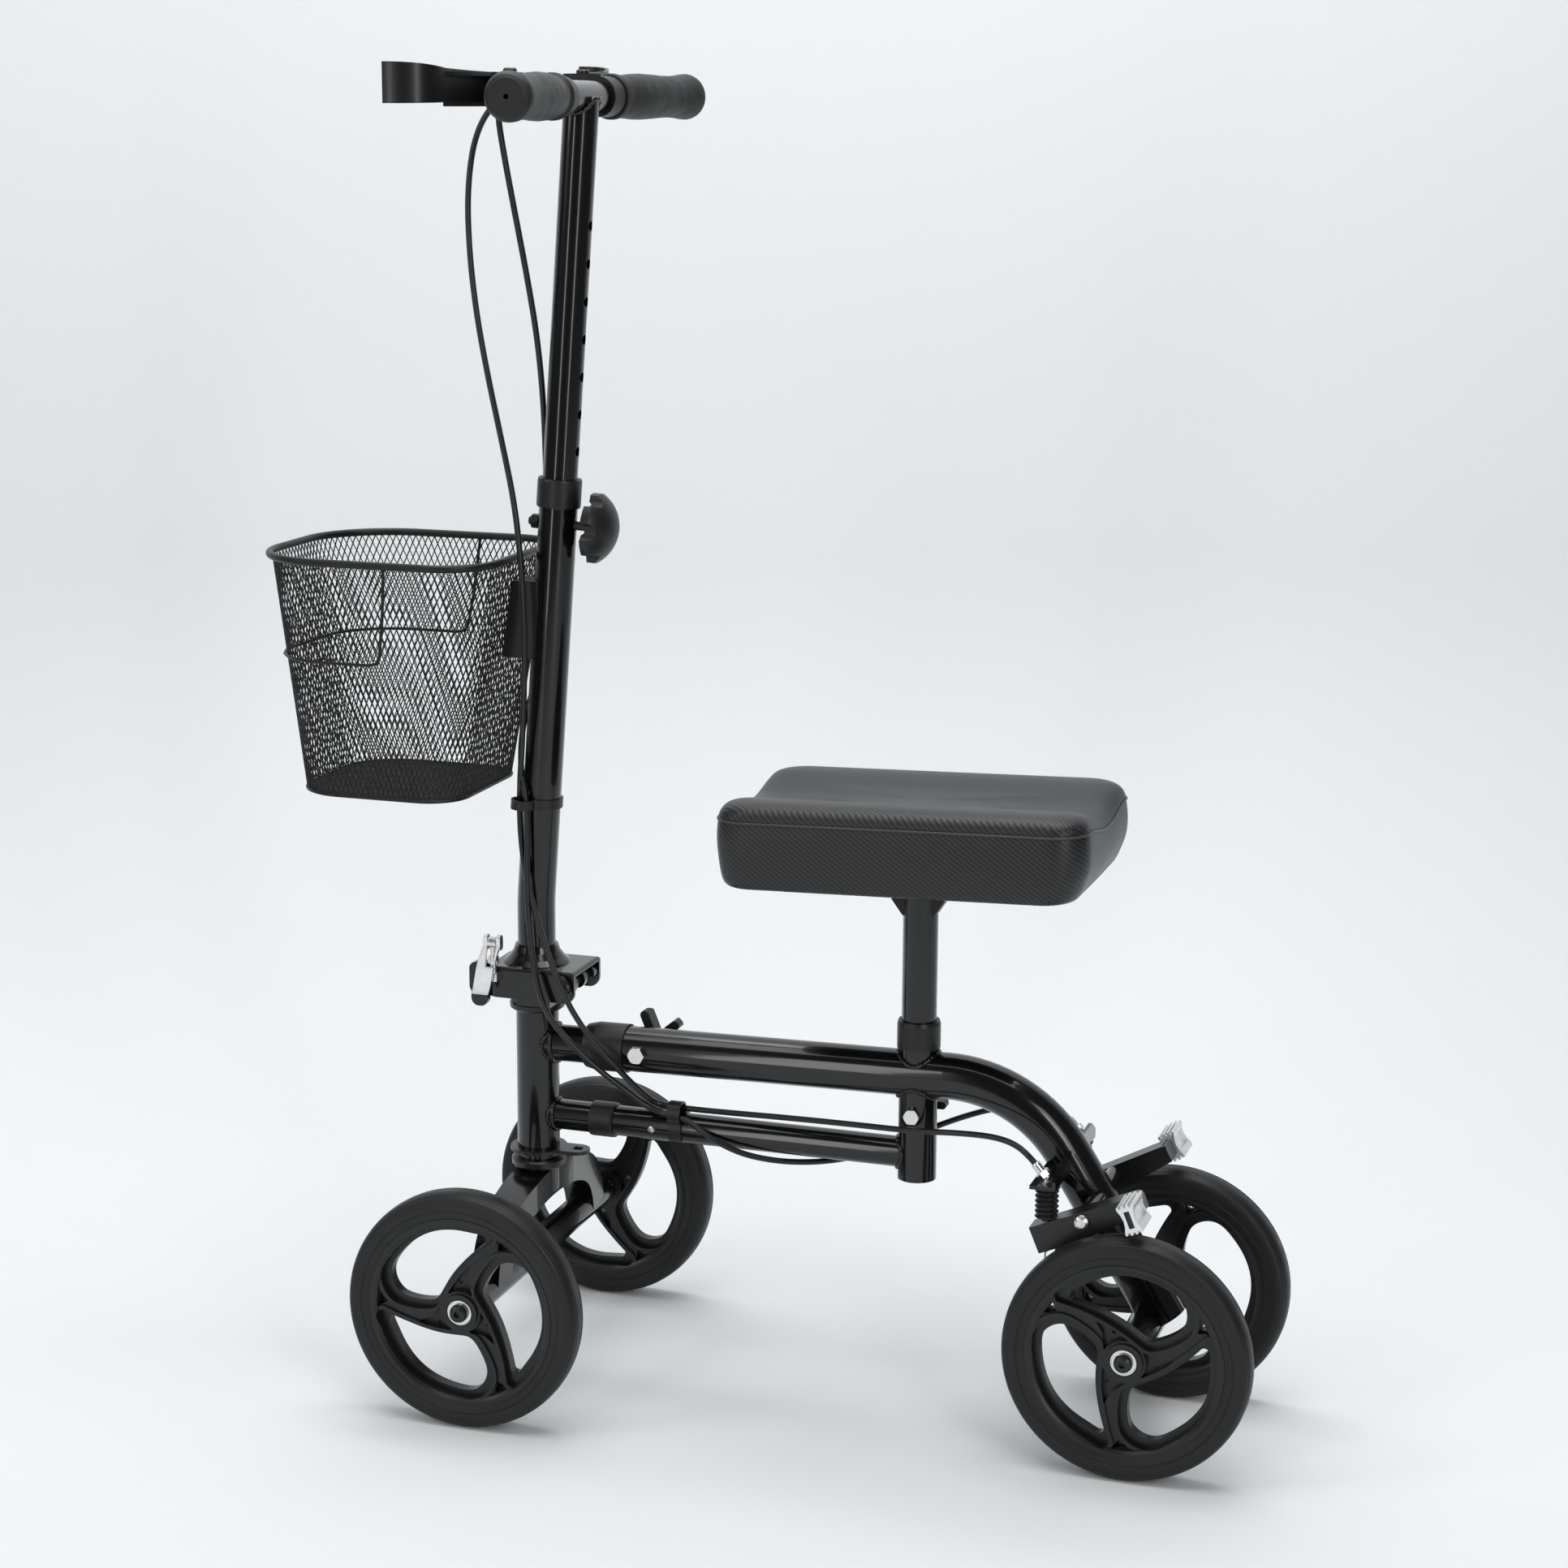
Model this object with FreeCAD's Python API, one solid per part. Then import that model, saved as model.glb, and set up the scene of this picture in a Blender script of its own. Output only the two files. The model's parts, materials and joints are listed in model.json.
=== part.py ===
import FreeCAD, Part
import math
import os
from FreeCAD import Vector as V, Placement, Rotation

# Knee scooter.  Millimetres, +X forward, +Y to the rider's left, +Z up, floor at Z = 0.
# The model is laid out with the rear axle at X = 0 and moved at the end so that the
# origin is the centre of the whole object's footprint.

# ---------------------------------------------------------------- driving dimensions
WHEEL_R = 100.0            # 8 inch wheels
WHEEL_W = 30.0
RIM_R = 79.6
LEDGE = 0.84               # size of the through hole within each rim opening
WHEELBASE = 532.0
REAR_TRACK = 87.0          # half, to the middle of the wheel
FRONT_TRACK = 159.0
ORIGIN_X = 326.0           # footprint centre, from the rear axle
MAIN_R, MAIN_RI = 19.05, 17.45          # 38.1 mm main tube
LOWER_R, LOWER_RI = 12.7, 11.3          # 25.4 mm lower tube
SEAT_TUBE_R, SEAT_TUBE_RI = 15.9, 14.38  # 31.8 mm seat tube
POST_R, POST_RI = 14.3, 12.7            # 28.6 mm seat post
HEAD_R, HEAD_RI = 18.0, 15.0            # 36 mm head tube
STEERER_R = 12.7
COLUMN_R, COLUMN_RI = 15.9, 14.38        # 31.8 mm steering column
STEM_R, STEM_RI = 14.3, 12.7            # 28.6 mm height tube that slides in it
BAR_R, BAR_RI = 12.7, 11.2
GAP = 0.05                              # radial clearance of a running fit
LEAN = math.radians(4.0)                # column leans back
COLUMN_REF = (507.2, 759.5)             # a point on the column's axis (X, Z)
PIVOT = (495.0, 339.0)                  # fold pin (X, Z)
FOLD_BEND_Z = 405.0
HOLE_PITCH = 30.2                       # height and seat adjusting holes
BAR_Z = 1064.0
BAR_X = 488.5
BAR_HALF = 196.0
CABLE_R = 2.5
ARM_PIVOT = (42.4, 200.7)               # brake arm pivot (X, Z)
ARM_SLOPE = math.radians(22.7)
ARM_Y0, ARM_Y1 = 49.0, 69.0             # brake arm channel
RIGHT_ARM_OPEN = 5.0                    # the right arm rests this much further open, degrees
PAD_TILT = 1.7
PAD_Z = 453.3              # underside of the knee pad above the seat post

UP = V(-math.sin(LEAN), 0, math.cos(LEAN))


def column_x(z):
    return COLUMN_REF[0] + (COLUMN_REF[1] - z) * math.tan(LEAN)


def column_pt(z):
    return V(column_x(z), 0, z)


# ---------------------------------------------------------------- helpers
def cyl(p, d, r, h):
    return Part.makeCylinder(r, h, V(*p), V(*d))


def tube(p, d, ro, ri, h):
    d = V(*d)
    d.normalize()
    p = V(*p)
    return Part.makeCylinder(ro, h, p, d).cut(Part.makeCylinder(ri, h + 2, p - d, d))


def box(x0, x1, y0, y1, z0, z1):
    return Part.makeBox(x1 - x0, y1 - y0, z1 - z0, V(x0, y0, z0))


def turned(profile, p=(0, 0, 0), axis=(0, 1, 0), radial=(1, 0, 0)):
    """Revolve (radius, along) points about an axis through p."""
    p, a, r = V(*p), V(*axis), V(*radial)
    pts = [p + r * q[0] + a * q[1] for q in profile]
    face = Part.Face(Part.makePolygon(pts + [pts[0]]))
    return face.revolve(p, a, 360)


def path_wire(points, radius=None):
    """Straight runs joined by tangent arcs.  Returns the wire and the arc radii."""
    pts = [V(*p) for p in points]
    edges, radii = [], []
    start = pts[0]
    for i in range(1, len(pts) - 1):
        a, b, c = pts[i - 1], pts[i], pts[i + 1]
        u, w = (a - b), (c - b)
        lu, lw = u.Length, w.Length
        u.normalize()
        w.normalize()
        turn = math.pi - u.getAngle(w)
        half = math.tan(turn / 2)
        r = 0.45 * min(lu, lw) / half
        if radius is not None:
            want = radius[i - 1] if isinstance(radius, (list, tuple)) else radius
            r = min(want, 0.98 * min(lu, lw) / half)
        t = r * half
        p0, p1 = b + u * t, b + w * t
        m = u + w
        m.normalize()
        mid = b + m * (r / math.cos(turn / 2) - r)
        edges.append(Part.LineSegment(start, p0).toShape())
        edges.append(Part.Arc(p0, mid, p1).toShape())
        start = p1
        radii.append(r)
    edges.append(Part.LineSegment(start, pts[-1]).toShape())
    return Part.Wire(edges), radii


def pipe(wire, r):
    e = wire.Edges[0]
    p = e.valueAt(e.FirstParameter)
    d = e.tangentAt(e.FirstParameter)
    circle = Part.Wire([Part.Circle(p, d, r).toShape()])
    s = wire.makePipeShell([circle], True, False)
    if s.Volume < 0:
        s.reverse()
    return s


def hollow_pipe(wire, ro, ri):
    return pipe(wire, ro).cut(pipe(wire, ri))


def closed_spline(points):
    c = Part.BSplineCurve()
    c.interpolate([V(*p) for p in points], PeriodicFlag=True)
    return Part.Face(Part.Wire([c.toShape()]))


def mirror_y(s):
    return s.mirror(V(0, 0, 0), V(0, 1, 0))


def group(shapes):
    return Part.makeCompound(shapes)


def hex_head(p, axis, across, h):
    """Hexagonal prism with its base at p."""
    a = V(*axis)
    a.normalize()
    side = V(0, 0, 1) if abs(a.z) < 0.9 else V(1, 0, 0)
    e1 = a.cross(side)
    e1.normalize()
    e2 = a.cross(e1)
    r = across / math.sqrt(3)
    pts = [V(*p) + e1 * (r * math.cos(math.radians(60 * i))) + e2 * (r * math.sin(math.radians(60 * i))) for i in range(6)]
    prism = Part.Face(Part.makePolygon(pts + [pts[0]])).extrude(a * h)
    ball = Part.makeCone(across * 0.5, across * 0.5 + h * 1.6, h * 1.6, V(*p) + a * (h * 1.05), a * -1)
    return prism.common(ball)


nodes = {}


def put(name, shape):
    if shape.ShapeType == "Compound" and len(shape.Solids) == 1:
        shape = shape.Solids[0]
    nodes[name] = shape


# ---------------------------------------------------------------- wheels
def opening_outline():
    """One swirl opening of the rim, seen from the wheel's outer face."""
    pts = [(64, 25), (41, 3), (22, -10), (8, -17), (0.5, -22), (-3.2, -33), (-3.6, -47), (-1, -59),
           (7, -67.5), (20, -71), (38, -63), (56, -47), (68.5, -26), (73, -2), (72.6, 16), (69.5, 25.5)]
    return pts


def dense(pts, n=96):
    c = Part.BSplineCurve()
    c.interpolate([V(p[0], p[1], 0) for p in pts], PeriodicFlag=True)
    a, b = c.FirstParameter, c.LastParameter
    out = []
    for i in range(n):
        t = a + (b - a) * i / n
        p, d = c.value(t), c.tangent(t)[0]
        out.append((p.x, p.y, d.x, d.y))
    return out


def offset_outline(pts, k, n=48):
    out = []
    d = dense(pts, n)
    area = sum(d[i][0] * d[(i + 1) % n][1] - d[(i + 1) % n][0] * d[i][1] for i in range(n))
    s = 1 if area > 0 else -1
    for x, y, tx, ty in d:
        out.append((x + s * k * ty, y - s * k * tx))
    return out


def rot2(p, deg):
    c, s = math.cos(math.radians(deg)), math.sin(math.radians(deg))
    return (p[0] * c - p[1] * s, p[0] * s + p[1] * c)


def plate_of(pts, y0, y1, m):
    """Outline in (u, v), u = -X when m is 1, extruded between y0 and y1."""
    f = closed_spline([(-m * p[0], y0, p[1]) for p in pts])
    return f.extrude(V(0, y1 - y0, 0))


def poly_plate(pts, y0, y1, m):
    q = [V(-m * p[0], y0, p[1]) for p in pts]
    return Part.Face(Part.makePolygon(q + [q[0]])).extrude(V(0, y1 - y0, 0))


def make_rim(m):
    ring = turned([(73.6, -11.5), (76.2, -13.0), (79.6, -13.0), (79.6, 13.0), (76.2, 13.0), (73.6, 11.5)])
    web = tube((0, -8.5, 0), (0, 1, 0), 75.0, 11.05, 17)
    hub = tube((0, -10.6, 0), (0, 1, 0), 17.4, 11.05, 21.2).fuse(tube((0, -13, 0), (0, 1, 0), 15.2, 11.05, 26))
    out = opening_outline()
    # each opening is stepped: a ledge in the middle of the web leaves a smaller hole
    step = [(36.0 + (x - 36.0) * LEDGE, -30.0 + (y + 30.0) * LEDGE) for x, y in out]
    rim = web.fuse(ring).fuse(hub)
    holes, ribs = [], []
    outer = offset_outline(out, 3.4)
    near = offset_outline(out, 2.3)
    pocket = [(-24.5, 31.5), (-18.0, 21), (-16.5, 8.5), (-9, 12), (-2, 15.5), (4.0, 17.6), (-10, 26.5)]
    hub_wall = cyl((0, -20, 0), (0, 1, 0), 17.8, 40)
    keep = []
    for k in range(3):
        b = [rot2(p, 120.0 * k) for p in outer]
        ribs.append(plate_of(b, -10.6, 10.6, m).common(tube((0, -11, 0), (0, 1, 0), 75.2, 16.5, 22)))
        keep.append(plate_of([rot2(p, 120.0 * k) for p in near], -15, 15, m))
    for k in range(3):
        a = 120.0 * k
        o = [rot2(p, a) for p in out]
        holes.append(plate_of([rot2(p, a) for p in step], -20, 20, m))
        holes.append(plate_of(o, 4.5, 20, m))
        holes.append(plate_of(o, -20, -4.5, m))
        holes.append(poly_plate([rot2(p, a) for p in [(58.6, 31.4), (64.8, 31.0), (60.3, 37.8)]], -20, 20, m))
        tri = [rot2(p, a) for p in [(57.0, 30.2), (67.2, 29.6), (60.2, 40.8)]]
        holes.append(poly_plate(tri, 3.0, 20, m))
        holes.append(poly_plate(tri, -20, -3.0, m))
        c = rot2((-9.5, 22.3), a)
        holes.append(cyl((-m * c[0], -20, c[1]), (0, 1, 0), 2.0, 40))
        pk = [rot2(p, a) for p in pocket]
        for y0, y1 in ((4.5, 14.0), (-14.0, -4.5)):
            cut = poly_plate(pk, y0, y1, m).cut(hub_wall)
            for r in keep:
                cut = cut.cut(r)
            if cut.Solids:
                holes.append(max(cut.Solids, key=lambda q: q.Volume))
    for r in ribs:
        rim = rim.fuse(r)
    for h in holes:
        rim = rim.cut(h)
    rim = rim.cut(cyl((0, -30, 0), (0, 1, 0), 11.05, 60))
    rim = rim.removeSplitter()
    return max(rim.Solids, key=lambda q: q.Volume)


def make_tyre():
    half = [(79.6, 12.6), (82.0, 13.6), (85.6, 14.4), (86.0, 14.1), (86.6, 14.1), (87.0, 14.6), (91.0, 15.0),
            (94.2, 14.7), (96.2, 13.9), (97.4, 12.8), (97.9, 11.9), (97.6, 11.5), (97.9, 11.1), (98.7, 10.1),
            (98.4, 9.7), (98.7, 9.3), (99.3, 8.0), (99.0, 7.6), (99.3, 7.2), (99.7, 5.4), (99.4, 5.0), (99.7, 4.6),
            (100.0, 2.6)]
    prof = half + [(r, -y) for r, y in reversed(half)]
    return turned(prof)


def place_wheel(s, x, y, deg):
    s = s.copy()
    s.rotate(V(0, 0, 0), V(0, 1, 0), deg)
    s.translate(V(x, y, WHEEL_R))
    return s


rim_cw, rim_ccw, tyre = make_rim(1), make_rim(-1), make_tyre()
for name, r, x, y, deg in (
    ("rear_left", rim_cw, 0, REAR_TRACK, 0),
    ("rear_right", rim_ccw, 0, -REAR_TRACK, 46),
    ("front_left", rim_ccw, WHEELBASE, FRONT_TRACK, 27),
    ("front_right", rim_cw, WHEELBASE, -FRONT_TRACK, 32),
):
    put("rim_" + name, place_wheel(r, x, y, deg))
    put("tyre_" + name, place_wheel(tyre, x, y, deg))


def bearings(x, ys):
    out = []
    for y in ys:
        for k in (-1, 1):
            y0 = y + k * 9.2
            prof = [(6.1, -3.4), (10.4, -3.4), (11.0, -2.8), (11.0, 2.8), (10.4, 3.4), (9.6, 3.4), (9.4, 3.0),
                    (7.9, 3.0), (7.7, 3.4), (6.1, 3.4)]
            out.append(turned(prof, (x, y0, WHEEL_R), (0, k, 0)))
    return group(out)


put("bearings_rear", bearings(0, (REAR_TRACK, -REAR_TRACK)))
put("bearings_front", bearings(WHEELBASE, (FRONT_TRACK, -FRONT_TRACK)))


def axle_bolts(x, ys):
    out = []
    for y in ys:
        k = 1 if y > 0 else -1
        y0 = y - k * 27
        s = cyl((x, y0, WHEEL_R), (0, k, 0), 6.0, 39.7)
        spacer = tube((x, y - k * 5.7, WHEEL_R), (0, k, 0), 8.0, 6.0, 11.4)
        head = turned([(0, 0), (7.5, 0), (7.5, 2.2), (6.8, 4.0), (4.8, 5.2), (0, 5.2)], (x, y + k * 12.7, WHEEL_R), (0, k, 0))
        head = head.cut(hex_head((x, y + k * 15.2, WHEEL_R), (0, k, 0), 5.0, 6))
        out.append(s.fuse(head).fuse(spacer))
    return group(out)


put("axle_bolts_rear", axle_bolts(0, (REAR_TRACK, -REAR_TRACK)))
put("axle_bolts_front", axle_bolts(WHEELBASE, (FRONT_TRACK, -FRONT_TRACK)))

# ---------------------------------------------------------------- rear frame
main_pts = [(470, 0, 282.0), (105.7, 0, 288.0), (-12.2, 0, 100.5)]
main_wire, _ = path_wire(main_pts, 118.0)
main_solid = pipe(main_wire, MAIN_R)
main = main_solid.cut(pipe(main_wire, MAIN_RI))
axle_solid = cyl((0, -68, WHEEL_R), (0, 1, 0), 14.0, 136)
seat_solid = cyl((197, 0, 190), (0, 0, 1), SEAT_TUBE_R, 130)
main = main.cut(axle_solid).cut(seat_solid)
main = main.cut(cyl((434.5, -30, 284.0), (0, 1, 0), 4.2, 60))
put("main_tube", main)

lower = tube((476, 0, 218.0), (-1, 0, 0), LOWER_R, LOWER_RI, 292).cut(cyl((197, 0, 150), (0, 0, 1), SEAT_TUBE_R, 130))
lower = max(lower.Solids, key=lambda s: s.Volume)
lower = lower.cut(cyl((425, 0, 218), (0, 1, 0), 3.6, 30))
put("lower_tube", lower)

seat_tube = tube((197, 0, 197.5), (0, 0, 1), SEAT_TUBE_R, SEAT_TUBE_RI, 112.0).cut(cyl((197, -30, 254.9), (0, 1, 0), 3.8, 20))
put("seat_tube", seat_tube)

axle = axle_solid.cut(cyl((0, -70, WHEEL_R), (0, 1, 0), 12.0, 140))
for k in (-1, 1):
    plug = cyl((0, k * 58, WHEEL_R), (0, k, 0), 12.0, 10).fuse(cyl((0, k * 67.9, WHEEL_R), (0, k, 0), 8.0, 6.3))
    axle = axle.fuse(plug)
axle = axle.cut(cyl((0, -80, WHEEL_R), (0, 1, 0), 6.05, 160))
gusset = []
for k in (-1, 1):
    pts = [V(8, k * 19.2, 112), V(34, k * 19.2, 166), V(24, k * 19.2, 172), V(-14, k * 19.2, 112)]
    gusset.append(Part.Face(Part.makePolygon(pts + [pts[0]])).extrude(V(0, k * 3, 0)).cut(axle_solid))
put("rear_axle", axle.fuse(gusset).removeSplitter())

# head tube with the two stubs that the rear frame's tubes slide over
head = cyl((WHEELBASE, 0, 180), (0, 0, 1), HEAD_R, 131)
slope = V(-1, 0, 6.0 / 364.3)
slope.normalize()
STUB = (WHEELBASE, 0, 282.0 - (WHEELBASE - 470) * 6.0 / 364.3)
upper_stub = cyl(STUB, (slope.x, 0, slope.z), 15.5, WHEELBASE - 392)
upper_bore = cyl(STUB, (slope.x, 0, slope.z), 14.0, WHEELBASE - 391)
lower_stub = cyl((WHEELBASE, 0, 218), (-1, 0, 0), 12.7, WHEELBASE - 478).fuse(cyl((480, 0, 218), (-1, 0, 0), 11.1, 82))
lower_bore = cyl((WHEELBASE, 0, 218), (-1, 0, 0), 9.6, 140)
beads = [Part.makeTorus(16.0, 2.0, V(WHEELBASE - 17.0, 0, STUB[2] + 0.28), slope), Part.makeTorus(13.0, 1.8, V(WHEELBASE - 17.3, 0, 218), V(1, 0, 0))]
section = head.fuse(upper_stub).fuse(lower_stub).fuse(beads)
section = section.cut(upper_bore).cut(lower_bore).cut(cyl((WHEELBASE, 0, 170), (0, 0, 1), HEAD_RI, 150))
section = section.cut(cyl((425, 0, 218), (0, 1, 0), 3.6, 30)).cut(cyl((434.5, -30, 284.0), (0, 1, 0), 4.2, 60))
put("head_section", section.removeSplitter())

# plastic sleeves over the two telescoped joints, and the seat tube's collar
sleeve = turned([(15.55, 0), (18.6, 0), (20.6, 9), (20.6, 36), (19.1, 36), (19.1, 15.2), (15.55, 15.2)], (485, 0, STUB[2] + 47 * 6.0 / 364.3), (slope.x, 0, slope.z), (0, 1, 0))
sleeve = sleeve.cut(main_solid).cut(cyl((434.5, -60, 284.0), (0, 1, 0), 5.0, 120))
small = turned([(12.75, 0), (14.6, 0), (14.8, 2), (14.8, 19.5), (14.4, 21.0), (12.75, 21.0)], (481.5, 0, 218), (-1, 0, 0), (0, 1, 0))
collar = turned([(14.38, 0.0), (17.8, 0.0), (17.8, 20.0), (16.8, 23.0), (14.38, 23.0)], (197, 0, 309.5), (0, 0, 1))
put("plastic_sleeves", group([sleeve, small, collar]))

# headset rings and the steering stop's plate
low_ring = turned([(STEERER_R + GAP, 0), (21.6, 0), (23.0, 1.4), (23.0, 6.0), (21.4, 7.7), (STEERER_R + GAP, 7.7)], (WHEELBASE, 0, 172.3), (0, 0, 1))
top_ring = turned([(STEERER_R + GAP, 0), (21.4, 0), (23.2, 1.6), (23.2, 5.4), (21.8, 7.0), (STEERER_R + GAP, 7.0)], (WHEELBASE, 0, 311.0), (0, 0, 1))
stop = cyl((WHEELBASE, 0, 186), (0, 0, 1), 24.0, 3.0).fuse(box(496, WHEELBASE, -11, 11, 186, 189)).fuse(cyl((497, 0, 186), (0, 0, 1), 11.0, 3.0))
stop = stop.cut(cyl((WHEELBASE, 0, 180), (0, 0, 1), HEAD_R, 20)).cut(box(492, 500, -4, 4, 180, 195)).removeSplitter()
put("headset", group([low_ring, top_ring, stop]))

# brake cross bar: carries both cable stops, and the arms' pivot tube
bar = box(64, 85, -72, 72, 224, 227).fuse(box(64, 67, -72, 72, 226, 240))
for k in (-1, 1):
    bar = bar.cut(cyl((73.5, k * 59, 220), (0, 0, 1), 3.6, 12))
    bar = bar.cut(Part.Face(Part.makePolygon([V(60, k * 73, 231), V(60, k * 73, 245), V(60, k * 50, 245), V(60, k * 73, 231)])).extrude(V(10, 0, 0)))
bar = bar.cut(main_solid)
ptube = tube((ARM_PIVOT[0], -47.6, ARM_PIVOT[1]), (0, 1, 0), 7.5, 4.05, 95.2).cut(main_solid)
struts = []
for k in (-1, 1):
    pts = [V(64.0, k * 21, 224), V(78, k * 21, 224), V(52, k * 21, 205.2), V(46, k * 21, 208.2)]
    struts.append(Part.Face(Part.makePolygon(pts + [pts[0]])).extrude(V(0, k * 3, 0)).cut(cyl((ARM_PIVOT[0], -60, ARM_PIVOT[1]), (0, 1, 0), 7.5, 120)).cut(main_solid))
put("brake_crossbar", group([s for s in bar.Solids] + [s for s in ptube.Solids] + struts))

STOP_T = V(0.6596, 0, 0.7516)            # the cable stops' barrels lean forward
STOP_N = (75.2, 59.0, 231.4)
stops = []
for k in (-1, 1):
    n0 = V(STOP_N[0], k * STOP_N[1], STOP_N[2])
    b = turned([(0, 0), (3.5, 0), (3.5, 3.0), (6.0, 3.0), (6.0, 4.4), (3.4, 4.4), (3.4, 7.0), (0, 7.0)], (73.5, k * 59, 224.0), (0, 0, 1))
    ball = Part.makeSphere(3.7, V(74.0, k * 59, 231.0))
    nut = hex_head(tuple(n0), tuple(STOP_T), 10.0, 5.0)
    barrel = turned([(0, 0), (3.9, 0), (3.9, 7.0), (3.4, 8.5), (0, 8.5)], tuple(n0 + STOP_T * 5.0), tuple(STOP_T), (0, 1, 0))
    s = b.fuse(ball).fuse(nut).fuse(barrel).cut(cyl((73.5, k * 59, 222), (0, 0, 1), 1.2, 9.5)).cut(Part.makeCylinder(1.2, 20, n0 - STOP_T * 0.8, STOP_T))
    s = s.cut(Part.makeCylinder(CABLE_R, 12, n0 + STOP_T * 9.3, STOP_T))
    stops.append(s)
put("cable_stops", group(stops))

# zinc fasteners of the frame
hw = []
hw.append(hex_head((434.5, 19.05, 284.0), (0, 1, 0), 13.0, 6.0).fuse(cyl((434.5, 14.0, 284.0), (0, 1, 0), 4.0, 5.1)).cut(main_solid.cut(cyl((434.5, 0, 284.0), (0, 1, 0), 4.2, 60))))
hw.append(hex_head((197, 15.9, 254.9), (0, 1, 0), 12.0, 5.5).cut(cyl((197, 0, 240), (0, 0, 1), SEAT_TUBE_R, 30)))
for k in (-1, 1):
    head_ = turned([(0, 0), (6.2, 0), (6.2, 1.2), (5.6, 3.2), (3.6, 4.4), (0, 4.4)], (ARM_PIVOT[0], k * 69.4, ARM_PIVOT[1]), (0, k, 0))
    hw.append(cyl((ARM_PIVOT[0], k * 30, ARM_PIVOT[1]), (0, k, 0), 4.0, 39.5).fuse(head_))
put("frame_fasteners", group(hw))


def strap(axis_pt, axis, r_in, lobe, lobe_r, wall, w, cables):
    """Band round a tube with a loop beside it that holds the two cables."""
    a = V(*axis)
    a.normalize()
    p = V(*axis_pt) - a * (w / 2)
    q = V(*lobe) - a * (w / 2)
    outer = Part.makeCylinder(r_in + wall, w, p, a).fuse(Part.makeCylinder(lobe_r + wall, w, q, a))
    inner = Part.makeCylinder(lobe_r, w + 4, q - a * 2, a)
    s = outer.cut(inner).cut(Part.makeCylinder(r_in, w + 4, p - a * 2, a))
    return max(s.Solids, key=lambda x: x.Volume)


CLIP = (404.0, 0.0, 218.0)
C1_CLIP, C2_CLIP = (404.0, 4.0, 235.4), (404.0, 11.6, 231.6)
clip = strap(CLIP, (1, 0, 0), LOWER_R + 0.02, (404.0, 8.0, 233.0), 8.2, 1.9, 11.0, None)
clip = clip.cut(box(390, 420, -3, 30, 196, 208.5))
put("cable_clip", max(clip.Solids, key=lambda s: s.Volume))

# snap button of the lower telescoped joint
button = turned([(0, 0), (3.5, 0), (3.5, 6.4), (2.6, 8.2), (0, 8.9)], (425, 6.0, 218), (0, 1, 0))
put("snap_button", button)


def wing_knob(p, axis, r, n, h, start, thick):
    """Knob with n rounded wings; p is the inner face's centre."""
    a = V(*axis)
    a.normalize()
    s = turned([(0, 0), (8.5, 0), (8.5, h * 0.5), (6.5, h), (0, h)], p, axis, (0, 0, 1) if abs(a.z) < 0.5 else (1, 0, 0))
    e1 = V(0, 0, 1) if abs(a.z) < 0.5 else V(1, 0, 0)
    for i in range(n):
        w = box(0, r - thick / 2, -thick / 2, thick / 2, 0, h * 0.9)
        w = w.fuse(cyl((r - thick / 2, 0, 0), (0, 0, 1), thick / 2, h * 0.9))
        cone = Part.makeCone(r * 1.25, r * 0.9, h * 0.9, V(0, 0, 0), V(0, 0, 1))
        w = w.common(cone)
        w.rotate(V(0, 0, 0), V(0, 0, 1), start + i * 360.0 / n)
        w.Placement = Placement(V(*p), Rotation(V(0, 0, 1), a)).multiply(w.Placement)
        s = s.fuse(w)
    return s.removeSplitter()


put("frame_knob", wing_knob((434.5, -21.4, 284.0), (0, -1, 0), 27.5, 5, 15.0, 68.0, 8.0).fuse(cyl((434.5, -14.6, 284.0), (0, -1, 0), 4.0, 7.0)).removeSplitter())
put("seat_knob", wing_knob((197, -17.9, 254.9), (0, -1, 0), 19.0, 5, 14.0, 36.0, 6.5).fuse(cyl((197, -14.8, 254.9), (0, -1, 0), 3.6, 4.0)).removeSplitter())

# ---------------------------------------------------------------- fork
def half_curve(pts):
    return pts + [(-y, z) for y, z in reversed(pts[:-1])]


outer_pts = half_curve([(119, 100), (116.5, 118), (107, 138), (88, 154), (60, 163.5), (30, 169.0), (0, 170.6)])
inner_pts = half_curve([(93, 100), (90.5, 112), (82, 126), (66, 136), (44, 142.5), (22, 145.5), (0, 146.5)])


def spline_edge(pts, x):
    c = Part.BSplineCurve()
    c.interpolate([V(x, y, z) for y, z in pts])
    return c.toShape()


x0 = WHEELBASE - 15
e1 = spline_edge(outer_pts, x0)
e2 = spline_edge(list(reversed(inner_pts)), x0)
l1 = Part.LineSegment(V(x0, -119, 100), V(x0, -93, 100)).toShape()
l2 = Part.LineSegment(V(x0, 93, 100), V(x0, 119, 100)).toShape()
arch = Part.Face(Part.Wire([e1, l1, e2, l2])).extrude(V(30, 0, 0))
wedge = turned([(0, 90), (21, 90), (21, 150), (15.5, 175), (0, 175)], (WHEELBASE, 0, 0), (0, 0, 1))
side = box(WHEELBASE - 15, WHEELBASE + 15, -130, 130, 95, 175)
# the arch narrows towards its feet
taper = Part.Face(Part.makePolygon([V(517, -40, 90), V(547, -40, 90), V(544, -125, 90), V(520, -125, 90), V(517, -40, 90)])).extrude(V(0, 0, 90))
taper = taper.fuse(mirror_y(taper)).fuse(box(517, 547, -41, 41, 90, 180))
arch = arch.common(taper)
try:
    long_edges = [e for e in arch.Edges if e.Length > 60 and e.BoundBox.YLength > 60]
    rounded = arch.makeFillet(3.0, long_edges)
    if rounded.isValid() and rounded.Volume > 0.8 * arch.Volume:
        arch = rounded
except Exception as err:
    print("crown left unrounded:", err)
crown = arch.fuse(cyl((WHEELBASE, 0, 150), (0, 0, 1), 17.0, 22.0)).cut(cyl((WHEELBASE, 0, 140), (0, 0, 1), STEERER_R, 40))
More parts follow.
